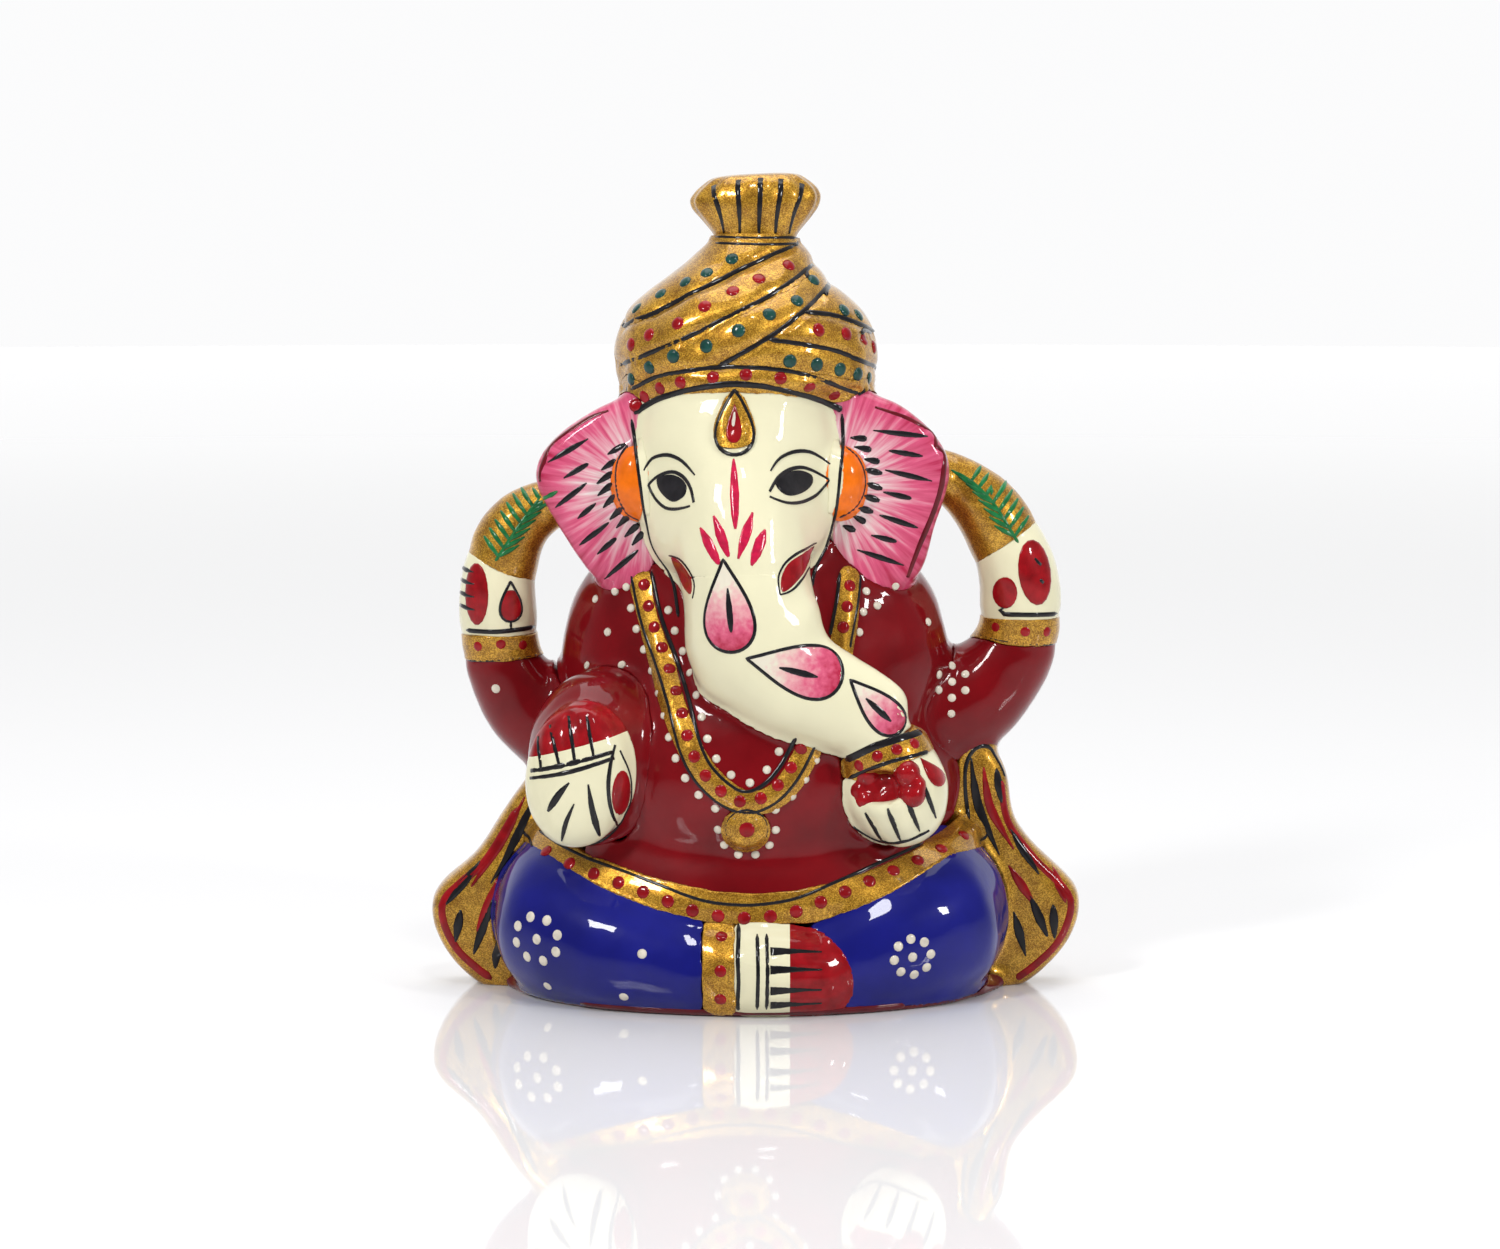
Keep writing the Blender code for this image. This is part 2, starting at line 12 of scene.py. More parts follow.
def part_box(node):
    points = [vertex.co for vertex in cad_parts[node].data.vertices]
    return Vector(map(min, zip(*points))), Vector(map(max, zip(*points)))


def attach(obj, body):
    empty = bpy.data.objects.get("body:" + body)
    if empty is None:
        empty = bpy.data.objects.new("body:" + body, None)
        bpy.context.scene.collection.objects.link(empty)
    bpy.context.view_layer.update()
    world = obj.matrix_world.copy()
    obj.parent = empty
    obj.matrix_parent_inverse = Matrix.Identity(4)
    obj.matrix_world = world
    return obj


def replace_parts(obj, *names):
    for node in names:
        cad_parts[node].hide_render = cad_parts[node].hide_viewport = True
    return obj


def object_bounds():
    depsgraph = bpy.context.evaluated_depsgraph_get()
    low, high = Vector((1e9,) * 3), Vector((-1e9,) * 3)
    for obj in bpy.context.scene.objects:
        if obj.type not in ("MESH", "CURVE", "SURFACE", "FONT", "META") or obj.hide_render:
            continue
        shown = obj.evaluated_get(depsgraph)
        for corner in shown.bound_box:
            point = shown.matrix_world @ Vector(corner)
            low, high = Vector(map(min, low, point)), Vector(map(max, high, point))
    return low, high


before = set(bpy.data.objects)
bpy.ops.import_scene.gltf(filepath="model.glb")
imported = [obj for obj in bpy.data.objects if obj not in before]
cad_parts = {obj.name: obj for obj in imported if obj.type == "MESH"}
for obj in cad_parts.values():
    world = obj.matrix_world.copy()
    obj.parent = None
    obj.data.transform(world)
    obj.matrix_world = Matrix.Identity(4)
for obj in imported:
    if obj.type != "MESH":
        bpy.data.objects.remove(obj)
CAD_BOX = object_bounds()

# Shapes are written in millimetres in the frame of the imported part: X to the viewer's right,
# Y away from the viewer, Z up. A front view point (x, z) lands on the surface by a ray along +Y.
MM = 0.001
CASTING_VOXEL, PIECE_VOXEL, FINE_VOXEL, GEM_VOXEL = 0.42, 0.42, 0.2, 0.12
SEAM = 0.55                     # how far the pieces swell to close the seams between them
RIPPLE = ((0.1, 4.6), (0.02, 1.7))      # height and size of the lacquer's waves
JUMP = 2.4                      # a step in depth that means another form behind
STEEP, CLIP_STEPS, LEAST_DROP = 3.5, 24, 0.3    # where a painted area stops at a form's edge
SNAP, TURBAN_SNAP = (0.8, 1.5), (1.4, 2.4)      # pieces this near the casting are laid on it
GROOVE_PITCH, STROKE_PITCH = 0.4, 0.45


# ---------------------------------------------------------------- mesh tools

def smooth_path(knots, steps, closed=False):
    """Points on a Catmull-Rom curve through knots, which are tuples of the same length."""
    count = len(knots)
    spans = count if closed else count - 1
    points = []
    for span in range(spans):
        if closed:
            near = [knots[(span + k) % count] for k in (-1, 0, 1, 2)]
        else:
            near = [knots[min(max(span + k, 0), count - 1)] for k in (-1, 0, 1, 2)]
        for step in range(steps):
            t = step / steps
            points.append(tuple(
                0.5 * (2 * b + (c - a) * t + (2 * a - 5 * b + 4 * c - d) * t ** 2
                       + (3 * b - a - 3 * c + d) * t ** 3)
                for a, b, c, d in zip(*near)))
    if not closed:
        points.append(tuple(knots[-1]))
    return points


def add_object(name, mesh):
    obj = bpy.data.objects.new(name, mesh)
    bpy.context.scene.collection.objects.link(obj)
    return obj


def mesh_object(name, verts, faces):
    mesh = bpy.data.meshes.new(name)
    mesh.from_pydata([Vector(v) * MM for v in verts], [], faces)
    mesh.update()
    return add_object(name, mesh)


def skinned(name, rings):
    """A closed object over rings of equally many points."""
    sides = len(rings[0])
    last = (len(rings) - 1) * sides
    faces = []
    for low in range(0, last, sides):
        for i in range(sides):
            j = (i + 1) % sides
            faces.append((low + i, low + j, low + sides + j, low + sides + i))
    faces.append(tuple(range(sides))[::-1])
    faces.append(tuple(range(last, last + sides)))
    return mesh_object(name, [point for ring in rings for point in ring], faces)


def settle(obj):
    """Replaces an object's mesh by what its modifiers make of it."""
    graph = bpy.context.evaluated_depsgraph_get()
    done = bpy.data.meshes.new_from_object(obj.evaluated_get(graph), depsgraph=graph)
    obj.modifiers.clear()
    obj.data = done
    return obj


def points_of(obj):
    co = np.empty(len(obj.data.vertices) * 3, np.float32)
    obj.data.vertices.foreach_get("co", co)
    return co.reshape(-1, 3).astype(float) / MM


def normals_of(obj):
    no = np.empty(len(obj.data.vertices) * 3, np.float32)
    obj.data.vertices.foreach_get("normal", no)
    return no.reshape(-1, 3).astype(float)


def set_points(obj, co):
    obj.data.vertices.foreach_set("co", (co * MM).astype(np.float32).ravel())
    obj.data.update()


def melt(obj, voxel, smooth):
    """Voxel remesh and relax, both applied."""
    remesh = obj.modifiers.new("melt", "REMESH")
    remesh.mode = "VOXEL"
    remesh.voxel_size = voxel * MM
    relax = obj.modifiers.new("relax", "SMOOTH")
    relax.factor = 0.5
    relax.iterations = smooth
    return settle(obj)


def grow(obj, amount):
    """Adds a modifier that swells obj by amount."""
    swell = obj.modifiers.new("grow", "DISPLACE")
    swell.mid_level = 0.0
    swell.strength = amount * MM


def join_copies(name, objects):
    bm = bmesh.new()
    for obj in objects:
        bm.from_mesh(obj.data)
    mesh = bpy.data.meshes.new(name)
    bm.to_mesh(mesh)
    bm.free()
    return add_object(name, mesh)


def rounded(node, voxel, amount, smooth):
    """A dense rounded copy of a CAD piece, swollen so that it meets its neighbours."""
    bm = bmesh.new()
    bm.from_mesh(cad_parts[node].data)
    bmesh.ops.remove_doubles(bm, verts=bm.verts, dist=1e-7)
    mesh = bpy.data.meshes.new(node + "_skin")
    bm.to_mesh(mesh)
    bm.free()
    obj = add_object(node + "_skin", mesh)
    soften = obj.modifiers.new("soften", "SUBSURF")
    soften.levels = soften.render_levels = 1
    grow(obj, amount)
    return melt(obj, voxel, smooth)


class Skin:
    """A surface that paint and pieces are laid on."""

    def __init__(self, obj):
        obj.data.calc_loop_triangles()
        triangles = obj.data.loop_triangles
        corners = np.empty(len(triangles) * 3, np.int32)
        triangles.foreach_get("vertices", corners)
        self.tris = corners.reshape(-1, 3)
        self.verts, self.normals = points_of(obj), normals_of(obj)
        self.tree = BVHTree.FromPolygons(self.verts.tolist(), self.tris.tolist())

    def _smooth_normal(self, point, index):
        corner = self.tris[index]
        away = np.linalg.norm(self.verts[corner] - np.array(point), axis=1) + 1e-6
        return Vector(((1 / away) @ self.normals[corner])).normalized()

    def cast(self, origin, way):
        """The first point that a ray meets, and the smooth normal there, or None."""
        point, _, index, _ = self.tree.ray_cast(Vector(origin), Vector(way).normalized())
        return None if point is None else (point, self._smooth_normal(point, index))

    def front(self, x, z):
        return self.cast((x, -100, z), (0, 1, 0))

    def back(self, x, z):
        return self.cast((x, 100, z), (0, -1, 0))

    def nearest(self, point):
        place, _, index, away = self.tree.find_nearest(Vector(point))
        return place, self._smooth_normal(place, index), away

    def spot(self, place):
        """The surface point for a mark: (x, z) seen from the front, or ("back", x, z)."""
        if place[0] == "back":
            found = self.back(place[1], place[2])
            guess = (place[1], 10, place[2])
        else:
            found = self.front(*place)
            guess = (place[0], -5, place[1])
        return found[0] if found else self.nearest(guess)[0]


# ---------------------------------------------------------------- the casting

# How far each piece swells beyond its CAD form, which closes the gaps to its neighbours.
# The SMALL pieces are also meshed finer.
SMALL = {"pendant": 0.12, "necklace": 0.3, "necklace_left_end": 0.3, "right_inner_ear": 0.15,
         "left_inner_ear": 0.15}
LARGE = {"waist_sash": 0.6, "foot": 0.6, "hips": 0.7, "base_plate": 0.6, "ankle_cuff": 0.2,
         "left_hand_bangle": 0.2, "right_rear_bangle": 0.2, "left_rear_bangle": 0.2}
GEM_SWELL, TURBAN_SWELL, USUAL_SWELL = 0.1, 0.5, 0.34

# The soft fold of the belly that rests on the sash: x, y, z and radius.
BELLY_FOLD = [(-18, -9.3, 17.4, 1.0), (-14, -10.0, 16.3, 1.7), (-10, -11.8, 15.2, 1.8),
              (-5, -13.2, 14.3, 1.9), (0, -13.7, 14.0, 1.9), (5, -13.0, 14.1, 1.9),
              (10, -11.2, 15.0, 1.8), (15, -8.2, 16.6, 1.6), (18, -7.0, 17.6, 1.0)]


def tube(name, knots, sides=16):
    """A round rod through knots of (x, y, z, radius), closed at both ends."""
    path = smooth_path(knots, 6)
    rings = []
    for k, knot in enumerate(path):
        before, after = path[max(k - 1, 0)], path[min(k + 1, len(path) - 1)]
        along = (Vector(after[:3]) - Vector(before[:3])).normalized()
        u = along.cross(Vector((0, 0, 1))).normalized()
        v = along.cross(u)
        turns = [2 * math.pi * i / sides for i in range(sides)]
        rings.append([Vector(knot[:3]) + (u * math.cos(a) + v * math.sin(a)) * knot[3]
                      for a in turns])
    return skinned(name, rings)


def add_belly_fold(tunic):
    fold = tube("belly_fold", BELLY_FOLD)
    joined = join_copies("tunic_skin", [tunic, fold])
    bpy.data.objects.remove(tunic)
    bpy.data.objects.remove(fold)
    return melt(joined, PIECE_VOXEL, 6)


# Where the trunk is fuller than an even bend: a line (x, z), the way out, and how far.
TRUNK_FILLS = [([(6.8, 42.2), (9.2, 39.4), (14.0, 35.2), (16.4, 33.0)], (0.55, -0.45, 0.7), 2.2),
               ([(-6.9, 39.4), (-5.4, 35.2)], (-0.8, 0.0, -0.6), 1.2)]
FILL_REACH = 2.6


def fill_out(trunk):
    """The trunk is full above and below the bend that leads to the hand."""
    co, no = points_of(trunk), normals_of(trunk)
    for line, way, amount in TRUNK_FILLS:
        spine = np.array(smooth_path(line, 6))
        away = np.hypot(co[:, :1] - spine[:, 0], co[:, 2:] - spine[:, 1]).min(1)
        push = amount * np.maximum(no @ way, 0.0) * np.exp(-(away / FILL_REACH) ** 2)
        co += push[:, None] * way
    set_points(trunk, co)


def make_skins():
    """A rounded piece for each CAD node but the two that are made on the finished casting."""
    skins = {}
    for node in sorted(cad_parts):
        if node == "forehead_setting":
            skins[node] = rounded(node, GEM_VOXEL, GEM_SWELL, 3)
        elif node in SMALL:
            skins[node] = rounded(node, FINE_VOXEL, SMALL[node], 4)
        elif node == "turban_crest":
            skins[node] = make_crest()
        elif node.startswith("turban"):
            skins[node] = rounded(node, PIECE_VOXEL, TURBAN_SWELL, 6)
        elif node not in ("sweet", "forehead_stone"):
            skins[node] = rounded(node, PIECE_VOXEL, LARGE.get(node, USUAL_SWELL), 6)
    skins["tunic"] = add_belly_fold(skins["tunic"])
    fill_out(skins["trunk"])
    return skins


def make_casting(skins):
    """All pieces melted into one skin, with the soft inner corners of a real casting.

    The skin is swollen, melted and shrunk again, which closes the seams between the pieces.
    """
    casting = join_copies("casting", list(skins.values()))
    for amount, smooth in ((SEAM, 5), (-SEAM, 9)):
        grow(casting, amount)
        settle(casting)
        melt(casting, CASTING_VOXEL, smooth)
    soften_forms(casting)
    keep_on_floor(casting)
    ripple(casting)
    return casting


TURBAN_CLOTH = (67.5, 80.5)     # heights between the brim and the crest
BELLY_FOOT = (1.6, 7.5)         # heights above the middle of the sash


def relax_where(obj, chosen, iterations):
    """Smooths the chosen vertices of obj."""
    group = obj.vertex_groups.new(name="chosen")
    group.add(np.where(chosen)[0].tolist(), 1.0, "REPLACE")
    relax = obj.modifiers.new("relax", "SMOOTH")
    relax.factor = 0.5
    relax.iterations = iterations
    relax.vertex_group = "chosen"
    settle(obj)
    obj.vertex_groups.clear()


def soften_forms(casting):
    """The cloth is one soft dome before its folds are pressed in; the belly meets the sash."""
    z = points_of(casting)[:, 2]
    relax_where(casting, (z > TURBAN_CLOTH[0]) & (z < TURBAN_CLOTH[1]), 24)
    x, y, z = points_of(casting).T
    above = z - np.interp(x, [p[0] for p in SASH], [p[1] for p in SASH])
    belly = (above > BELLY_FOOT[0]) & (above < BELLY_FOOT[1])
    relax_where(casting, belly & (abs(x) < 15) & (y < -7), 60)


def ripple(obj):
    """The slight waviness that hand casting and thick lacquer leave."""
    co, no = points_of(obj), normals_of(obj)
    for i, point in enumerate(co):
        wave = sum(height * noise_at(Vector(point) / size) for height, size in RIPPLE)
        co[i] += no[i] * wave * min(1.0, point[2] / 2)
    set_points(obj, co)


CREST_FOOT, CREST_SIDES, FLUTES, FLUTE_DEPTH, CREST_LEAN = 83.0, 72, 14, 0.02, 0.05


def make_crest():
    """The flared, fluted tuft on top of the turban."""
    low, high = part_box("turban_crest")
    middle = (low + high) / 2 / MM
    top = high.z / MM
    levels = [(low.z / MM - 1.5, 4.4, 4.1), (82.6, 4.4, 4.1), (83.4, 4.65, 3.9),
              (84.4, 5.4, 3.9), (85.4, 6.2, 4.0), (86.3, 6.8, 4.1), (87.3, 7.0, 4.1),
              (88.2, 6.5, 3.9), (89.0, 5.6, 3.5), (top - 0.35, 4.5, 2.8), (top - 0.1, 2.6, 1.6)]
    rings = []
    for z, across, deep in smooth_path(levels, 4):
        fluted = FLUTE_DEPTH * min(1.0, max(0.0, (z - CREST_FOOT) / 3))
        lean = CREST_LEAN * min(1.0, max(0.0, (z - 85) / 3))
        ring = []
        for i in range(CREST_SIDES):
            a = 2 * math.pi * i / CREST_SIDES
            flute = 1 + fluted * math.cos(FLUTES * a)
            x = across * flute * math.cos(a)
            ring.append((middle.x + x, middle.y + deep * flute * math.sin(a), z + lean * x))
        rings.append(ring)
    return skinned("turban_crest_skin", rings)


# Lumps of the sweet: x, z, radius, and how far each stands out of the hand.
LUMPS = [(12.9, 24.5, 2.9, 1.2), (15.2, 25.0, 2.7, 1.15), (14.1, 24.8, 2.8, 1.25),
         (11.5, 24.5, 1.4, 0.8), (12.0, 25.8, 1.5, 0.9), (15.9, 26.3, 1.5, 0.95),
         (17.1, 25.3, 1.2, 0.7), (12.5, 23.8, 1.5, 0.8), (14.2, 24.0, 2.0, 1.3),
         (16.2, 24.5, 1.5, 0.8), (12.0, 23.7, 1.4, 0.8), (13.4, 23.6, 1.6, 0.9)]


def make_sweet(skin):
    """A heap of round lumps in the left hand."""
    bm = bmesh.new()
    for x, z, radius, rise in LUMPS:
        point, normal, _ = skin.nearest(skin.spot((x, z)))
        place = Matrix.Translation(point - normal * (radius - rise))
        bmesh.ops.create_uvsphere(bm, u_segments=16, v_segments=10, radius=radius, matrix=place)
    bm.transform(Matrix.Scale(MM, 4))
    mesh = bpy.data.meshes.new("sweet_skin")
    bm.to_mesh(mesh)
    bm.free()
    return melt(add_object("sweet_skin", mesh), FINE_VOXEL, 7)


def keep_on_floor(obj):
    co = points_of(obj)
    co[:, 2] = np.maximum(co[:, 2], 0.0)
    set_points(obj, co)


def press(obj, skin, lines, width, depth):
    """Presses soft grooves into obj along lines of marks."""
    spots = [p for line in lines for p in route(skin, line, GROOVE_PITCH)]
    tree = KDTree(len(spots))
    for i, spot in enumerate(spots):
        tree.insert(spot, i)
    tree.balance()
    co, no = points_of(obj), normals_of(obj)
    low = np.array(spots).min(0) - 3 * width
    high = np.array(spots).max(0) + 3 * width
    near = np.where(((co > low) & (co < high)).all(1))[0]
    for i in near:
        away = tree.find(co[i])[2]
        co[i] -= no[i] * depth * math.exp(-(away / width) ** 2)
    set_points(obj, co)


def one_form(anchors):
    """The longest stretch of anchors without a jump in depth to another form behind."""
    runs, run = [], [anchors[0]]
    for before, after in zip(anchors, anchors[1:]):
        if abs(after.y - before.y) > JUMP:
            runs.append(run)
            run = []
        run.append(after)
    return max(runs + [run], key=len)


def route(skin, marks, pitch):
    """Points about pitch apart on a smooth line through marks on the surface."""
    if any(mark[0] == "back" for mark in marks):
        points = smooth_path([tuple(skin.spot(mark)) for mark in marks], 12)
    else:
        anchors = one_form([skin.spot(mark) for mark in smooth_path(marks, 6)])
        thinned = anchors[:-1:3] + anchors[-1:]
        points = smooth_path([tuple(anchor) for anchor in thinned], 6)
    picked = [points[0]]
    for point in points[1:]:
        if (Vector(point) - Vector(picked[-1])).length >= pitch:
            picked.append(point)
    if (Vector(points[-1]) - Vector(picked[-1])).length > 0.3 * pitch:
        picked.append(points[-1])
    return [skin.nearest(point)[0] for point in picked]


def lay_on(obj, casting, lift, below=math.inf, snap=SNAP):
    """Moves obj's vertices near the casting's surface onto it, lifted by a hair.

    Vertices closer than snap's first distance move all the way. Those further than its second
    distance stay, and so do those above the height below.
    """
    full, none = snap
    co = points_of(obj)
    for i, point in enumerate(co):
        if point[2] > below:
            continue
        place, normal, away = casting.nearest(point)
        if away < none:
            share = min(1.0, (none - away) / (none - full))
            share = share * share * (3 - 2 * share)
            co[i] += share * (np.array(place + normal * lift) - point)
    co[:, 2] = np.maximum(co[:, 2], 0.0)
    set_points(obj, co)


# How far pieces stand out of the casting. The first entry whose word is in the name counts.
LIFTS = [
    ("forehead_setting", 0.24), ("bangle", 0.18),
    ("cuff", 0.14), ("necklace", 0.16), ("pendant", 0.18), ("sash", 0.12),
    ("turban_crest", 0.18), ("turban_brim", 0.16), ("turban_top", 0.14),
    ("turban_middle", 0.12), ("turban_lower", 0.10), ("turban_side", 0.08),
    ("inner_ear", 0.12), ("trunk", 0.085), ("head", 0.08), ("ear", 0.06), ("raised_hand", 0.10),
    ("hand", 0.08), ("leaf", 0.09), ("raised_sleeve", 0.06), ("foot", 0.07), ("shawl", 0.05),
    ("left_leg", 0.035), ("leg", 0.04), ("sleeve", 0.03), ("hips", 0.02), ("", 0.0)]


def lift_of(node):
    return next(lift for word, lift in LIFTS if word in node)


# ---------------------------------------------------------------- materials

def principled(name):
    material = bpy.data.materials.new(name)
    material.use_nodes = True
    tree = material.node_tree
    shader = tree.nodes["Principled BSDF"]
    return material, tree, shader


def node_of(tree, kind, **settings):
    node = tree.nodes.new(kind)
    for key, value in settings.items():
        if key in node.inputs:
            node.inputs[key].default_value = value
        else:
            setattr(node, key, value)
    return node


def coordinates(tree):
    return node_of(tree, "ShaderNodeTexCoord").outputs["Object"]


def noise(tree, size, detail):
    """Noise whose features are about size millimetres across."""
    texture = node_of(tree, "ShaderNodeTexNoise", Scale=1.0 / (size * MM), Detail=detail)
    tree.links.new(coordinates(tree), texture.inputs["Vector"])
    return texture.outputs["Fac"]


def maths(tree, operation, *values):
    """The result of a maths node; each value is a number or another node's output."""
    node = node_of(tree, "ShaderNodeMath", operation=operation)
    for socket, value in zip(node.inputs, values):
        if isinstance(value, float):
            socket.default_value = value
        else:
            tree.links.new(value, socket)
    return node.outputs[0]


def ramp(tree, factor, stops):
    """A colour ramp; stops are (position, colour)."""
    node = node_of(tree, "ShaderNodeValToRGB")
    node.color_ramp.elements[0].position, node.color_ramp.elements[1].position = 0.0, 1.0
    while len(node.color_ramp.elements) < len(stops):
        node.color_ramp.elements.new(0.5)
    for element, (position, colour) in zip(node.color_ramp.elements, stops):
        element.position = position
        element.color = (*colour, 1.0)
    tree.links.new(factor, node.inputs["Fac"])
    return node.outputs["Color"]


def bump(tree, shader, height, depth):
    node = node_of(tree, "ShaderNodeBump", Strength=1.0, Distance=depth * MM)
    tree.links.new(height, node.inputs["Height"])
    tree.links.new(node.outputs["Normal"], shader.inputs["Normal"])


def lacquered(material, shader, colour, roughness, specular=None):
    """Finishes a paint: its colour, its own gloss, and the clear lacquer over it."""
    material.node_tree.links.new(colour, shader.inputs["Base Color"])
    shader.inputs["Roughness"].default_value = roughness
    if specular is not None:
        shader.inputs["Specular IOR Level"].default_value = specular
    shader.inputs["Coat Weight"].default_value = 1.0
    shader.inputs["Coat Roughness"].default_value = 0.03
    shader.inputs["Coat IOR"].default_value = 1.33
    return material


PAINT_ROUGHNESS, PAINT_SPECULAR = 0.35, 0.05


def scaled(colour, share):
    return tuple(min(1.0, c * share) for c in colour)


def enamel(name, colour, spread, patch):
    """Brushed gloss paint under clear lacquer, a little thicker in some places."""
    material, tree, shader = principled(name)
    stops = [(0.3, scaled(colour, 1 - spread)), (0.7, scaled(colour, 1 + spread))]
    bump(tree, shader, noise(tree, 0.5, 2.0), 0.012)
    return lacquered(material, shader, ramp(tree, noise(tree, patch, 4.0), stops),
                     PAINT_ROUGHNESS, PAINT_SPECULAR)


def gold_paint(name):
    """Bronze powder paint: bright flakes in an ochre ground."""
    material, tree, shader = principled(name)
    flakes = node_of(tree, "ShaderNodeTexVoronoi", Scale=1.0 / (0.1 * MM))
    tree.links.new(coordinates(tree), flakes.inputs["Vector"])
    split = node_of(tree, "ShaderNodeSeparateColor")
    tree.links.new(flakes.outputs["Color"], split.inputs["Color"])
    cloud = maths(tree, "MULTIPLY", noise(tree, 1.6, 5.0), 0.65)
    mixed = maths(tree, "MULTIPLY_ADD", split.outputs["Red"], 0.5, cloud)
    stops = [(0.2, (0.19, 0.075, 0.004)), (0.5, (0.39, 0.18, 0.010)), (0.85, (0.80, 0.46, 0.05))]
    bump(tree, shader, split.outputs["Green"], 0.02)
    shader.inputs["Metallic"].default_value = 0.75
    return lacquered(material, shader, ramp(tree, mixed, stops), 0.4)


def attribute(tree, name):
    return node_of(tree, "ShaderNodeAttribute", attribute_name=name).outputs["Fac"]


def ear_paint(name):
    """Pink brushed outwards over white, deeper at the rim."""
    material, tree, shader = principled(name)
    spread = node_of(tree, "ShaderNodeCombineXYZ")
    tree.links.new(maths(tree, "MULTIPLY", attribute(tree, "turn"), 9.0), spread.inputs["X"])
    tree.links.new(attribute(tree, "tone"), spread.inputs["Y"])
    texture = node_of(tree, "ShaderNodeTexNoise", Scale=1.6, Detail=5.0)
    tree.links.new(spread.outputs["Vector"], texture.inputs["Vector"])
    streaks = texture.outputs["Fac"]
    depth = maths(tree, "SUBTRACT", attribute(tree, "tone"), 0.75)
    mixed = maths(tree, "MULTIPLY_ADD", streaks, 1.5, depth)
    stops = [(0.0, (0.82, 0.70, 0.68)), (0.25, (0.76, 0.38, 0.44)), (0.55, (0.68, 0.11, 0.22)),
             (1.0, (0.43, 0.018, 0.065))]
    bump(tree, shader, streaks, 0.03)
    return lacquered(material, shader, ramp(tree, mixed, stops), PAINT_ROUGHNESS, PAINT_SPECULAR)


def petal_paint(name):
    """Rose paint that deepens from a petal's point to its round end."""
    material, tree, shader = principled(name)
    depth = maths(tree, "SUBTRACT", attribute(tree, "tone"), 0.25)
    mixed = maths(tree, "MULTIPLY_ADD", noise(tree, 0.7, 4.0), 0.5, depth)
    stops = [(0.25, (0.80, 0.74, 0.60)), (0.5, (0.80, 0.40, 0.42)), (0.75, (0.70, 0.12, 0.22)),
             (1.0, (0.45, 0.02, 0.06))]
    return lacquered(material, shader, ramp(tree, mixed, stops), PAINT_ROUGHNESS, PAINT_SPECULAR)


# Each enamel's colour, how much it varies, and the size of its patches.
ENAMELS = {
    "crimson": ((0.18, 0.003, 0.006), 0.2, 6.0), "blue": ((0.009, 0.011, 0.19), 0.2, 8.0),
    "cream": ((0.82, 0.78, 0.54), 0.035, 7.0), "rose": ((0.55, 0.012, 0.06), 0.25, 0.8),
    "orange": ((0.90, 0.17, 0.006), 0.2, 2.0), "dark_red": ((0.12, 0.006, 0.012), 0.3, 3.0),
    "black": ((0.012, 0.011, 0.013), 0.3, 1.0), "green": ((0.012, 0.16, 0.045), 0.3, 1.0),
    "teal": ((0.012, 0.06, 0.05), 0.3, 1.0), "white": ((0.72, 0.66, 0.55), 0.15, 0.8),
    "red": ((0.29, 0.005, 0.009), 0.3, 1.5)}


def make_materials():
    materials = {"gold": gold_paint("gold_enamel"), "pink": ear_paint("pink_enamel"),
                 "petal": petal_paint("petal_enamel")}
    for paint, look in ENAMELS.items():
        name = "black_line" if paint == "black" else paint + "_enamel"
        materials[paint] = enamel(name, *look)
    return materials


# The paint of each CAD piece. The first entry whose word is in the name counts.
PAINT_OF = [("inner_ear", "orange"), ("ear", "pink"), ("base", "dark_red"),
            ("tunic", "crimson"), ("sleeve", "crimson"), ("sweet", "red"), ("leg", "blue"),
            ("hips", "blue"), ("bangle", "gold"), ("leaf", "gold"), ("cuff", "gold"),
            ("sash", "gold"), ("necklace", "gold"), ("pendant", "gold"), ("setting", "gold"),
            ("turban", "gold"), ("shawl", "gold"), ("", "cream")]


def paint_of(node):
    return next(paint for word, paint in PAINT_OF if word in node.replace("rear_", ""))


def finish_piece(obj, paint, materials):
    """Paints a piece and ties it to the part's one body."""
    obj.data.materials.clear()
    obj.data.materials.append(materials[paint])
    obj.data.shade_smooth()
    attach(obj, "root")


# ---------------------------------------------------------------- brush work

# Across a stroke and out along a dot: share of the half width, and height as a share of lift.
STROKE_TOP = ((-1.0, -0.5), (-0.7, 0.75), (0.0, 1.0), (0.7, 0.75), (1.0, -0.5))
DOT_TOP = ((0.5, 1.45), (0.9, 1.0), (1.14, -0.4))
DOT_SIDES, DOT_PEAK, DOT_FOOT = 12, 1.6, 0.85
FILL_RINGS = ((0.2, 0.8), (0.4, 0.8), (0.6, 0.8), (0.8, 0.8), (0.94, 0.5), (1.0, 0.2))
STROKE_SUNK, SUNK = -0.14, -0.15        # the underside of paint lies inside the casting


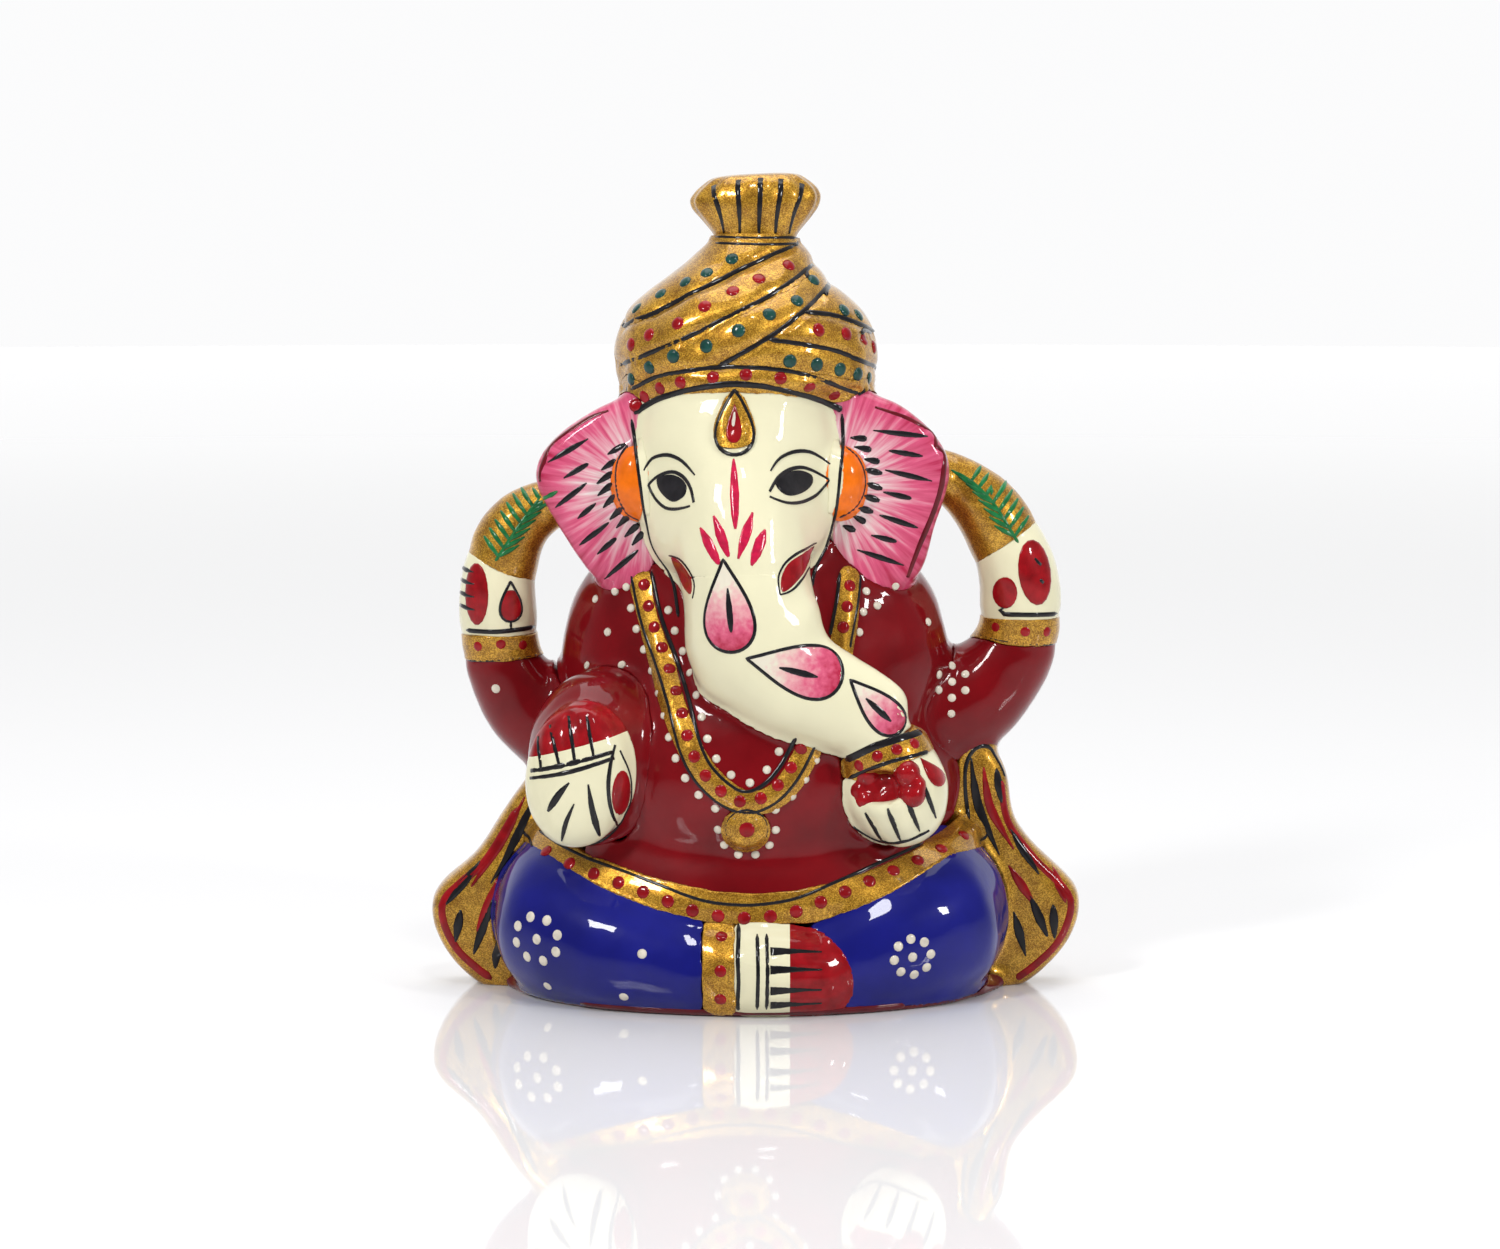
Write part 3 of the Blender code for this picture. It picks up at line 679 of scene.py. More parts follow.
class Brush:
    """Closed paint marks of one colour, gathered into one object."""

    def __init__(self, skin, name, paint, base, lift=0.07, bold=1.35):
        self.skin, self.name, self.paint = skin, name, paint
        self.base, self.lift, self.bold = base, lift, bold
        self.verts, self.faces, self.tones = [], [], []

    def _add(self, point, normal, height, tone=0.0):
        self.verts.append(tuple(point + normal * height))
        self.tones.append(tone)
        return len(self.verts) - 1

    def _fan(self, ring, tip):
        for a, b in zip(ring, ring[1:] + ring[:1]):
            self.faces.append((a, b, tip))

    def _join(self, low, high):
        count = len(low)
        for i in range(count):
            j = (i + 1) % count
            self.faces.append((low[i], low[j], high[j], high[i]))

    def stroke(self, marks, widths):
        """A brush line through marks. widths are half widths spread evenly along it.

        A line too short to show is left out.
        """
        centres = route(self.skin, marks, STROKE_PITCH)
        count = len(centres)
        if count < 3:
            return
        rings = []
        for i, centre in enumerate(centres):
            along = centres[min(i + 1, count - 1)] - centres[max(i - 1, 0)]
            _, normal, _ = self.skin.nearest(centre)
            side = normal.cross(along).normalized()
            if len(widths) > 1:
                place = i / (count - 1) * (len(widths) - 1)
                step = min(int(place), len(widths) - 2)
                half = widths[step] + (widths[step + 1] - widths[step]) * (place - step)
            else:
                # An even line narrows only at its two ends.
                half = widths[0] * min(1.0, 0.35 + 0.65 * min(i, count - 1 - i))
            half *= self.bold
            ring = []
            for share, height in STROKE_TOP:
                spot, up, _ = self.skin.nearest(centre + side * half * share)
                ring.append(self._add(spot, up, self.base + self.lift * height))
            for share in (1.0, 0.0, -1.0):
                ring.append(self._add(centre + side * half * share * 0.9, normal, STROKE_SUNK))
            rings.append(ring)
        for low, high in zip(rings, rings[1:]):
            self._join(low, high)
        for ring, centre in ((rings[0][::-1], centres[0]), (rings[-1], centres[-1])):
            _, normal, _ = self.skin.nearest(centre)
            self._fan(ring, self._add(centre, normal, 0.0))

    def strokes(self, lines, widths):
        for line in lines:
            self.stroke(line, widths)

    def loop(self, outline, width):
        """A line of one width round a closed outline."""
        self.stroke(outline + [outline[0]], (width,))

    def dot(self, mark, radius):
        """A raised round dot."""
        centre = self.skin.spot(mark)
        _, normal, _ = self.skin.nearest(centre)
        u = normal.orthogonal().normalized()
        v = normal.cross(u)
        rings = []
        levels = [(share, self.base + self.lift * height) for share, height in DOT_TOP]
        for share, height in levels + [(DOT_FOOT, SUNK)]:
            ring = []
            for i in range(DOT_SIDES):
                a = 2 * math.pi * i / DOT_SIDES
                offset = (u * math.cos(a) + v * math.sin(a)) * radius * share
                spot, up, _ = self.skin.nearest(centre + offset)
                ring.append(self._add(spot, up, height))
            rings.append(ring)
        for low, high in zip(rings, rings[1:]):
            self._join(low, high)
        self._fan(rings[0][::-1], self._add(centre, normal, self.base + self.lift * DOT_PEAK))
        self._fan(rings[-1], self._add(centre, normal, SUNK))

    def dots(self, marks, radius):
        for mark in marks:
            self.dot(mark, radius)

    def fill(self, outline, heart, tone_at=None):
        """A painted area: outline is closed, in front view, and seen whole from heart."""
        if len(outline) < 14:
            outline = smooth_path(outline, 3, closed=True)
        outline = clipped(self.skin, outline, heart)
        tops, lows = [], []
        for share, height in FILL_RINGS:
            top, low = [], []
            for x, z in outline:
                mark = (heart[0] + (x - heart[0]) * share, heart[1] + (z - heart[1]) * share)
                spot = self.skin.spot(mark)
                _, normal, _ = self.skin.nearest(spot)
                tone = tone_at(*mark) if tone_at else 0.0
                top.append(self._add(spot, normal, self.base + self.lift * height, tone))
                low.append(self._add(spot, normal, SUNK, tone))
            tops.append(top)
            lows.append(low)
        for a, b in zip(tops, tops[1:]):
            self._join(a, b)
        for a, b in zip(lows, lows[1:]):
            self._join(b, a)
        self._join(tops[-1], lows[-1])
        spot = self.skin.spot(heart)
        _, normal, _ = self.skin.nearest(spot)
        tone = tone_at(*heart) if tone_at else 0.0
        peak = self.base + self.lift * FILL_RINGS[0][1]
        self._fan(tops[0][::-1], self._add(spot, normal, peak, tone))
        self._fan(lows[0], self._add(spot, normal, SUNK, tone))

    def finish(self, materials):
        obj = mesh_object(self.name, self.verts, self.faces)
        tone = obj.data.attributes.new("tone", "FLOAT", "POINT")
        tone.data.foreach_set("value", self.tones)
        bm = bmesh.new()
        bm.from_mesh(obj.data)
        bmesh.ops.recalc_face_normals(bm, faces=bm.faces)
        bm.to_mesh(obj.data)
        bm.free()
        finish_piece(obj, self.paint, materials)
        return obj


def clipped(skin, outline, heart):
    """The outline drawn in towards heart wherever it would fall off the edge of the form."""
    kept = []
    for x, z in outline:
        away = (x - heart[0], z - heart[1])
        drop_off = max(STEEP * math.hypot(*away) / CLIP_STEPS, LEAST_DROP)
        depth, reach = skin.spot(heart).y, 0.0
        for step in range(1, CLIP_STEPS + 1):
            share = step / CLIP_STEPS
            here = skin.spot((heart[0] + away[0] * share, heart[1] + away[1] * share)).y
            if here - depth > drop_off:
                break
            depth, reach = here, share
        kept.append((heart[0] + away[0] * reach, heart[1] + away[1] * reach))
    return kept


DROP_SHARE = 0.714              # a drop's widest place, as a share of the formula's width


def drop(tip, end, half_width, count=22):
    """The outline of a drop whose point is at tip and whose round end is at end."""
    half_width /= DROP_SHARE
    tip, end = Vector(tip), Vector(end)
    axis = (end - tip) / 2
    across = Vector((-axis.y, axis.x)).normalized()
    middle = (tip + end) / 2
    angles = [2 * math.pi * i / count for i in range(count)]
    return [tuple(middle - axis * math.cos(a)
                  + across * half_width * math.sin(a) * math.sin(a / 2) ** 1.4)
            for a in angles]


def oval(centre, half_width, half_height, lean=0.0, count=18):
    """The outline of an oval, leaning by an angle in degrees."""
    c, s = math.cos(math.radians(lean)), math.sin(math.radians(lean))
    points = []
    for i in range(count):
        a = 2 * math.pi * i / count
        x, z = half_width * math.cos(a), half_height * math.sin(a)
        points.append((centre[0] + x * c - z * s, centre[1] + x * s + z * c))
    return points


def back(*marks):
    """Marks as seen from the front, but on the far side of the figure."""
    return [("back", x, z) for x, z in marks]


# Turban lines in the front view, each followed by its way round the back.
WRAP_TOP = [(4.0, 82.0), (1.7, 81.1), (-2.4, 79.2), (-8.5, 76.1), (-14.4, 73.2)]
WRAP_MIDDLE = [(6.2, 80.2), (3.8, 78.3), (0.7, 76.4), (-3.4, 74.4), (-7.5, 72.4), (-14.4, 69.3)]
WRAP_LOW = [(8.0, 78.0), (5.8, 75.8), (2.8, 73.4), (-0.3, 71.5), (-4.0, 69.4)]
SIDE_UPPER = [(5.2, 75.0), (8.0, 74.7), (10.7, 73.8), (13.0, 72.6)]
SIDE_LOWER = [(1.3, 72.2), (4.8, 71.7), (8.9, 70.8), (12.9, 68.9)]
BRIM_UPPER = [(-13.4, 66.6), (-10.7, 68.1), (-6.9, 68.9), (-2.4, 69.3), (2.8, 68.9),
              (6.9, 67.9), (11.0, 66.2)]
BRIM_LOWER = [(-13.2, 64.0), (-10.7, 65.6), (-6.9, 66.9), (-2.4, 67.5), (1.7, 67.1),
              (5.8, 66.0), (9.3, 64.4)]
TURBAN_LINES = [
    WRAP_TOP, [WRAP_TOP[-1]] + back((-10, 75.4), (-4, 78.3), (1.5, 80.9)) + [WRAP_TOP[0]],
    WRAP_MIDDLE, [WRAP_MIDDLE[-1]] + back((-10, 70.8), (-4, 73.9), (2, 77.0)) + [WRAP_MIDDLE[0]],
    WRAP_LOW, [WRAP_LOW[0]] + back((5, 75.6), (0, 72.2), (-6, 68.0)),
    SIDE_UPPER, [SIDE_UPPER[-1]] + back((10.5, 71.4), (6, 71), (0, 71.2)),
    SIDE_LOWER, [SIDE_LOWER[-1]] + back((10.5, 67.8), (5, 67.3), (-1, 67.6)),
    BRIM_UPPER, [BRIM_UPPER[0]] + back((-10, 64.9), (-1, 64.2), (8, 64.9)) + [BRIM_UPPER[-1]]]
PLEATS = [[(-4.6, 88.6), (-3.5, 83.4)], [(-1.9, 89.2), (-1.8, 83.4)], [(0.5, 89.4), (0.3, 83.4)],
          [(2.7, 89.3), (2.1, 83.4)], [(5.0, 88.8), (3.6, 83.4)]]
FINGERS = [[(-23.3, 30.4), (-22.9, 26.6)], [(-22.1, 31.8), (-20.9, 27.0)],
           [(-20.0, 32.2), (-19.3, 27.6)], [(-18.1, 32.2), (-17.3, 27.9)]]
HAND_FINGERS = [[(11.7, 22.2), (13.6, 18.8)], [(14.0, 22.8), (15.4, 19.2)],
                [(15.9, 23.8), (17.4, 20.2)], [(17.6, 25.6), (19.1, 21.5)]]
TOES = [[(1.5, z), (4.4, z), (7.0, z * 0.97)] for z in (7.3, 5.5, 3.3, 1.7)]


def paint_crest(skin, materials):
    lines = Brush(skin, "crest_pleats", "black", 0.0)
    lines.strokes(PLEATS, (0.28, 0.24, 0.12))
    lines.finish(materials)


TEAL_DOTS = [(-2.6, 80.7), (-5.3, 79.2), (-7.6, 78.2), (-10.3, 76.9), (-12.9, 75.3),
             (6.2, 78.4), (4.4, 76.3), (1.4, 74.9), (-1.9, 73.2), (-5.3, 71.5),
             (-8.9, 70.4), (-11.5, 69.1), (-13.5, 67.7), (9.5, 75.2), (11.1, 74.6),
             (3.6, 69.9), (6.5, 69.5), (9.0, 68.9), (11.0, 68.3), (12.2, 67.7)]
TEAL_DOTS += back((-9.5, 77.4), (-7.0, 78.7), (-4.0, 80.1), (-13.0, 67.9), (-10.0, 69.0),
                  (-7.0, 70.4), (-4.0, 71.9), (-1.0, 73.5), (2.0, 75.1), (4.8, 76.8),
                  (11.5, 69.8), (8.8, 69.3), (6, 69.2), (3, 69.2), (0, 69.3))
RED_DOTS = [(3.5, 80.0), (0.3, 78.6), (-2.5, 77.3), (-5.5, 75.7), (-8.4, 73.9),
            (-11.5, 72.6), (-13.5, 71.5), (6.7, 73.2), (9.7, 72.7), (11.5, 72.0),
            (12.8, 71.1), (-13.0, 64.9), (-12.0, 65.9), (-10.3, 66.9), (-8.1, 67.6),
            (-4.6, 68.2), (-1.1, 68.5), (2.6, 68.1), (5.7, 67.1), (8.4, 66.1)]
RED_DOTS += back((-13.2, 72.0), (-10.6, 73.0), (-7.8, 74.3), (-5.0, 75.8), (-2.0, 77.4),
                 (1.0, 78.9), (3.4, 80.2), (11.5, 73.6), (9.0, 73.3), (6.2, 73.2), (3.4, 73.1),
                 (-11.5, 65.2), (-8.5, 65.6), (-5.5, 65.9), (-2.5, 66.0), (0.5, 66.0),
                 (3.5, 66.0), (6.5, 65.8), (9.5, 65.5))


def paint_turban(skin, materials):
    lines = Brush(skin, "turban_lines", "black", 0.18)
    lines.strokes(TURBAN_LINES, (0.23,))
    lines.stroke(BRIM_LOWER, (0.27,))
    for z in (83.0, 82.3):
        lines.stroke([(-4.3, z), (0, z - 0.1), (4.3, z)], (0.13,))
    lines.finish(materials)
    for name, paint, marks in (("turban_green_dots", "teal", TEAL_DOTS),
                               ("turban_red_dots", "red", RED_DOTS)):
        brush = Brush(skin, name, paint, 0.14, 0.1)
        brush.dots(marks, 0.68)
        brush.finish(materials)


# Ink lines of the face with their half widths: the face's two edges, then each eye and brow.
FACE_LINES = [
    ([(-13.5, 63.4), (-13.1, 61.0), (-12.5, 56.6), (-11.9, 52.9), (-11.1, 49.6), (-9.8, 47.6),
      (-8.9, 45.6), (-8.4, 42.2)], (0.14,)),
    ([(9.3, 64.0), (9.4, 61.0), (9.1, 58.0), (8.6, 53.6), (7.6, 49.8), (6.6, 47.8),
      (6.1, 46.0), (6.2, 44.4), (7.1, 42.0)], (0.14,)),
    ([(-11.6, 56.5), (-10.9, 57.2), (-9.9, 57.8), (-8.7, 58.0), (-7.6, 57.4), (-6.9, 56.3),
      (-6.6, 55.0)], (0.1, 0.14, 0.14, 0.12)),
    ([(-11.6, 56.5), (-10.9, 55.2), (-9.7, 54.2), (-8.3, 54.2), (-7.0, 54.6)],
     (0.1, 0.13, 0.12, 0.08)),
    ([(-12.1, 58.0), (-11.2, 59.3), (-9.5, 59.8), (-7.9, 59.2), (-6.5, 57.8)],
     (0.08, 0.13, 0.15, 0.12, 0.06)),
    ([(1.4, 56.2), (2.2, 57.5), (3.4, 58.3), (4.9, 58.5), (6.4, 57.9), (7.9, 57.0)],
     (0.1, 0.14, 0.15, 0.12, 0.08)),
    ([(1.4, 55.7), (3.1, 55.0), (4.9, 54.9), (6.6, 55.6), (7.9, 57.0)],
     (0.08, 0.13, 0.13, 0.08)),
    ([(1.5, 58.3), (2.4, 59.5), (4.1, 60.2), (6.0, 60.0), (8.1, 58.6)],
     (0.06, 0.12, 0.15, 0.12, 0.06))]
# Areas as (outline, heart).
PUPILS = [
    ([(-10.6, 57.3), (-9.9, 57.6), (-8.9, 57.7), (-8.0, 57.4), (-7.4, 56.7), (-7.5, 55.8),
      (-8.1, 55.2), (-8.9, 54.9), (-9.8, 55.4), (-10.5, 56.3)], (-9.0, 56.4)),
    ([(2.0, 57.2), (2.9, 57.9), (4.0, 58.2), (5.0, 58.1), (5.9, 57.6), (6.0, 56.8),
      (5.4, 56.1), (4.4, 55.7), (3.3, 55.7), (2.4, 56.3)], (4.0, 57.0))]
LIPS = [
    ([(-9.1, 48.8), (-8.2, 48.6), (-7.4, 47.8), (-6.8, 46.6), (-6.9, 45.3), (-7.6, 45.6),
      (-8.3, 46.8)], (-7.8, 47.1)),
    ([(6.2, 50.0), (4.6, 49.4), (3.3, 48.6), (2.6, 47.2), (2.7, 45.8), (3.7, 46.2),
      (4.9, 47.4), (5.6, 48.6)], (4.0, 47.6))]
LIP_LINES = [[(-9.3, 49.0), (-8.1, 48.8), (-7.1, 47.8), (-6.5, 46.4), (-6.7, 44.9)],
             [(6.4, 50.3), (4.5, 49.7), (3.0, 48.7), (2.3, 47.2), (2.5, 45.5)],
             [(6.4, 50.3), (5.9, 48.4), (5.0, 47.1), (3.8, 45.9), (2.5, 45.5)]]
# Short rays of the brow mark: point, foot, half width.
BROW_RAYS = [((-5.9, 52.4), (-3.9, 48.7), 0.5), ((-4.5, 53.7), (-2.9, 49.5), 0.46),
             ((-0.4, 54.1), (-1.9, 49.3), 0.46), ((0.9, 52.3), (-0.5, 48.6), 0.5)]


def paint_face(skin, materials):
    ink = Brush(skin, "face_lines", "black", 0.13, bold=1.5)
    cheek = Brush(skin, "temples", "cream", 0.13, 0.03, 1.0)
    cheek.stroke([(-12.5, 61.4), (-12.3, 59.0), (-12.0, 56.0), (-11.6, 53.2)],
                 (0.3, 0.6, 0.6, 0.3))
    cheek.stroke([(8.7, 61.2), (8.6, 59.0), (8.5, 56.0), (7.9, 53.4)], (0.3, 0.85, 0.85, 0.3))
    cheek.finish(materials)
    for line, widths in FACE_LINES:
        ink.stroke(line, widths)
    for outline, heart in PUPILS:
        ink.fill(outline, heart)
    ink.finish(materials)

    rim = Brush(skin, "forehead_drop_edges", "black", 0.22, 0.08)
    rim.loop(drop((-2.3, 67.0), (-2.3, 60.0), 1.95), 0.16)
    rim.finish(materials)
    stone = Brush(skin, "forehead_stone_skin", "red", 0.3, 0.15)
    stone.fill(drop((-2.3, 65.4), (-2.4, 61.2), 0.85), (-2.4, 62.5))
    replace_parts(stone.finish(materials), "forehead_stone")
    # A painted highlight: a white stroke across the top of the red stone, standing in for a lamp's
    # reflection.
    highlight_paint = Brush(skin, "forehead_stone_glint", "white", 0.42, 0.03, 1.0)
    highlight_paint.stroke([(-2.35, 64.5), (-2.45, 63.6), (-2.5, 62.9)], (0.08, 0.22, 0.26, 0.1))
    highlight_paint.finish(materials)

    mark = Brush(skin, "brow_mark", "rose", 0.085)
    mark.stroke([(-2.4, 59.6), (-2.3, 56.0), (-2.2, 52.4)], (0.08, 0.3, 0.42, 0.35, 0.1))
    for tip, foot, half in BROW_RAYS:
        mark.stroke([tip, foot], (0.1, half, half * 0.9, 0.1))
    mark.finish(materials)

    lips = Brush(skin, "mouth_marks", "red", 0.09)
    for outline, heart in LIPS:
        lips.fill(outline, heart)
    lips.finish(materials)
    edge = Brush(skin, "mouth_lines", "black", 0.1)
    edge.strokes(LIP_LINES, (0.07, 0.13, 0.07))
    edge.finish(materials)


# Petals along the trunk: point, round end, half width, and the dark line inside.
PETALS = [((-3.5, 49.3), (-2.5, 39.5), 2.65, [(-3.0, 46.2), (-2.6, 41.6)]),
          ((-1.1, 38.9), (9.1, 36.6), 2.75, [(2.4, 37.9), (6.5, 36.8)]),
          ((9.9, 36.5), (15.4, 30.9), 1.8, [(11.6, 34.5), (14.3, 32.0)])]


def paint_trunk(skin, materials):
    colour = Brush(skin, "trunk_petals", "petal", 0.085, 0.05)
    ink = Brush(skin, "trunk_petal_lines", "black", 0.1, 0.07)
    for tip, end, half, vein in PETALS:
        start, way = Vector(tip), Vector(end) - Vector(tip)
        middle = start + way * 0.6
        line = clipped(skin, drop(tip, end, half), middle)

        def tone(x, z, start=start, way=way):
            return (Vector((x, z)) - start).dot(way) / way.length_squared

        colour.fill(line, tuple(middle), tone)
        ink.loop(line, 0.15)
        ink.stroke(vein, (0.08, 0.3, 0.34, 0.08))
    colour.finish(materials)
    ink.finish(materials)


EAR_STROKES = [
    [(-22.6, 58.7), (-18.2, 61.3)], [(-20.9, 57.0), (-18.2, 58.6)], [(-21.8, 53.8), (-18.4, 56.5)],
    [(-19.4, 52.6), (-17.4, 54.3)], [(-19.2, 49.7), (-16.0, 52.2)], [(-17.3, 48.7), (-15.2, 50.5)],
    [(-16.5, 46.0), (-12.8, 49.2)],
    [(12.7, 62.2), (18.6, 61.5)], [(14.4, 60.0), (18.1, 59.4)], [(14.0, 57.9), (19.1, 56.7)],
    [(13.8, 55.5), (16.9, 54.8)], [(13.4, 53.0), (17.6, 51.6)], [(12.5, 50.8), (15.3, 50.1)],
    [(11.0, 49.2), (16.1, 47.5)]]
EAR_TICKS = [
    [(-16.1, 59.6), (-14.0, 60.8)], [(-16.8, 57.9), (-15.2, 59.0)], [(-17.3, 56.4), (-15.5, 57.7)],
    [(-17.2, 55.1), (-15.5, 56.5)], [(-16.6, 53.8), (-15.2, 55.3)], [(-15.9, 52.5), (-14.4, 54.0)],
    [(-15.2, 51.6), (-13.8, 53.0)], [(-14.3, 50.6), (-12.8, 52.0)], [(-13.5, 49.7), (-12.2, 51.2)],
    [(10.2, 61.4), (12.0, 61.3)], [(10.6, 60.4), (12.5, 60.1)], [(11.7, 59.1), (13.4, 58.8)],
    [(11.7, 58.0), (13.8, 57.5)], [(11.9, 56.5), (13.8, 55.8)], [(11.6, 55.2), (13.5, 54.5)],
    [(11.0, 53.9), (12.8, 53.3)], [(10.5, 53.0), (11.9, 52.2)], [(9.4, 51.9), (10.8, 51.3)]]


def paint_ears(skin, materials):
    ink = Brush(skin, "ear_lines", "black", 0.07, bold=1.5)
    ink.strokes(EAR_STROKES, (0.05, 0.2, 0.24, 0.2, 0.05))
    ink.strokes(EAR_TICKS, (0.06, 0.22, 0.3, 0.12))
    ink.stroke([(-13.9, 60.6), (-14.9, 58.9), (-15.1, 57.0), (-14.8, 55.0), (-13.8, 53.2),
                (-12.6, 52.6)], (0.2,))
    ink.stroke([(9.7, 60.4), (11.0, 59.2), (11.7, 57.4), (11.6, 55.6), (10.6, 53.9),
                (9.0, 52.9)], (0.2,))
    ink.finish(materials)
    rim = Brush(skin, "ear_rims", "dark_red", 0.06)
    rim.stroke([(-16.0, 64.3), (-18.5, 63.3), (-22.2, 60.6), (-24.2, 57.5), (-23.0, 54.2),
                (-20.5, 50.4), (-18.7, 47.5), (-17.3, 45.3)], (0.1, 0.28, 0.3, 0.28, 0.15))
    rim.stroke([(12.9, 64.7), (16.4, 63.5), (19.3, 61.7), (20.4, 59.7), (20.1, 55.9),
                (18.9, 52.3), (17.7, 49.5), (16.5, 46.2)], (0.1, 0.28, 0.3, 0.28, 0.15))
    rim.finish(materials)


def flower(brush, centre, radius, size, count, turn):
    """A dot with a ring of count dots round it."""
    brush.dot(centre, size)
    for i in range(count):
        a = 2 * math.pi * i / count + turn
        brush.dot((centre[0] + radius * math.cos(a), centre[1] + radius * math.sin(a)), size)


def paint_flowers(skin, materials):
    white = Brush(skin, "white_dots", "white", 0.04, 0.09)
    flower(white, (-23.7, 7.6), 2.4, 0.55, 8, 0.3)
    flower(white, (16.8, 6.2), 2.0, 0.5, 8, 0.1)
    flower(white, (21.6, 34.2), 1.7, 0.45, 6, 0.5)
    white.dots([(-12.2, 6.9), (-22.6, 2.3), (-14.2, 2.0), (-28.7, 33.4)], 0.5)
    white.dots(CHEST_DOTS, 0.42)
    white.finish(materials)


NECKLACE = [(-12.4, 46.6), (-11.2, 41.6), (-9.6, 37.4), (-8.2, 33.3), (-7.1, 29.2),
            (-5.6, 26.2), (-3.1, 23.9), (-0.8, 23.2), (1.6, 24.3), (3.6, 26.6), (5.2, 29.6)]
NECKLACE_LEFT = [(10.3, 46.6), (9.9, 43.6), (9.3, 40.5), (8.9, 38.0)]
PENDANT = (-1.0, 20.2)


def beside(path, offset):
    """A line beside a front-view path, offset to its right hand."""
    moved = []
    for i, (x, z) in enumerate(path):
        before, after = path[max(i - 1, 0)], path[min(i + 1, len(path) - 1)]
        way = Vector((after[0] - before[0], after[1] - before[1])).normalized()
        moved.append((x + way.y * offset, z - way.x * offset))
    return moved


def spaced(path, pitch, start=0.0):
    """Front-view points pitch apart along a smooth path."""
    fine = [Vector(p) for p in smooth_path(path, 10)]
    found, travelled, due = [], 0.0, start
    for a, b in zip(fine, fine[1:]):
        step = (b - a).length
        while due <= travelled + step:
            found.append(tuple(a.lerp(b, (due - travelled) / step)))
            due += pitch
        travelled += step
    return found


# White dots on the tunic: beside the necklace, under the pendant, and a few loose ones.
CHEST_DOTS = (
    spaced(beside(NECKLACE, 2.0), 2.3, 1.0)
    + [p for p in spaced(beside(NECKLACE, -1.95), 2.3, 2.0) if p[1] < 45]
    + spaced(beside(NECKLACE_LEFT[:3], -1.9), 2.2, 1.6)
    + [(PENDANT[0] + 3.1 * math.sin(a), PENDANT[1] - 3.1 * math.cos(a))
       for a in (-1.5, -0.9, -0.3, 0.3, 0.9, 1.5)]
    + [(-18.5, 36.4), (-16.2, 40.2), (-17.6, 43.6), (-14.6, 36.8), (15.2, 45.2), (18.9, 41.0),
       (21.5, 30.8), (-15.4, 44.6), (13.2, 43.2)])


def paint_necklace(skin, materials):
    ink = Brush(skin, "necklace_edges", "black", 0.12)
    for path in (NECKLACE, NECKLACE_LEFT):
        for offset in (-1.05, 1.2):
            ink.stroke(beside(path, offset), (0.17,))
    ink.loop(oval(PENDANT, 2.15, 2.15, count=16), 0.13)
    ink.finish(materials)
    red = Brush(skin, "necklace_dots", "red", 0.17, 0.08)
    red.dots(spaced(NECKLACE, 2.3, 1.2) + spaced(NECKLACE_LEFT[:3], 2.2, 1.2), 0.62)
    red.dot(PENDANT, 0.8)
    red.finish(materials)


SASH = [(-23.8, 16.6), (-19.0, 15.0), (-14.0, 13.6), (-9.5, 12.2), (-5.6, 11.0), (-0.8, 10.6),
        (4.0, 11.2), (8.0, 12.6), (13.0, 14.4), (19.0, 16.4), (23.6, 18.0)]


def paint_sash(skin, materials):
    ink = Brush(skin, "sash_edge", "black", 0.12)
    ink.stroke([(x, z + 1.35) for x, z in SASH], (0.15,))
    behind = back((-22, 17.4), (-11, 17.9), (0, 18.2), (11, 17.9), (22, 17.4))
    ink.stroke([(-24.6, 16.4)] + behind + [(24.6, 16.4)], (0.15,))
    ink.finish(materials)
    red = Brush(skin, "sash_dots", "red", 0.12, 0.09)
    red.dots(spaced(SASH, 2.8, 1.0), 0.68)
    red.dots(back(*((x, 16.9) for x in range(-20, 21, 3))), 0.6)
    red.finish(materials)


def paint_raised_hand(skin, materials):
    ink = Brush(skin, "raised_hand_lines", "black", 0.11, bold=1.6)
    ink.strokes(FINGERS, (0.12, 0.17, 0.12))
    ink.stroke([(-24.0, 26.4), (-19.8, 27.4), (-15.4, 28.5)], (0.16, 0.2, 0.14))
    ink.stroke([(-24.1, 25.6), (-19.6, 26.6), (-15.2, 27.9)], (0.12, 0.18, 0.14))
    ink.stroke([(-15.1, 29.2), (-15.5, 27.6), (-15.8, 25.2), (-15.6, 22.6), (-14.9, 20.0)],
               (0.1, 0.17, 0.15, 0.08))
    ink.stroke([(-19.9, 25.4), (-21.0, 24.1), (-22.2, 22.2)], (0.06, 0.24, 0.28, 0.1))
    ink.stroke([(-19.4, 23.1), (-20.3, 21.0), (-20.8, 18.9)], (0.05, 0.16, 0.18, 0.06))
    ink.stroke([(-17.9, 25.2), (-17.5, 22.4), (-16.8, 19.4)], (0.06, 0.2, 0.26, 0.08))
    ink.stroke([(-24.4, 27.4), (-24.2, 23.0), (-22.0, 19.4), (-19.0, 17.7), (-16.2, 18.6),
                (-13.9, 21.8), (-13.5, 25.4), (-14.6, 28.6)], (0.08, 0.12, 0.1, 0.08))
    ink.finish(materials)
    red = Brush(skin, "thumb_pad", "red", 0.1, 0.08)
    red.fill(oval((-14.5, 24.0), 0.95, 2.5, -3), (-14.5, 24.0))
    red.finish(materials)


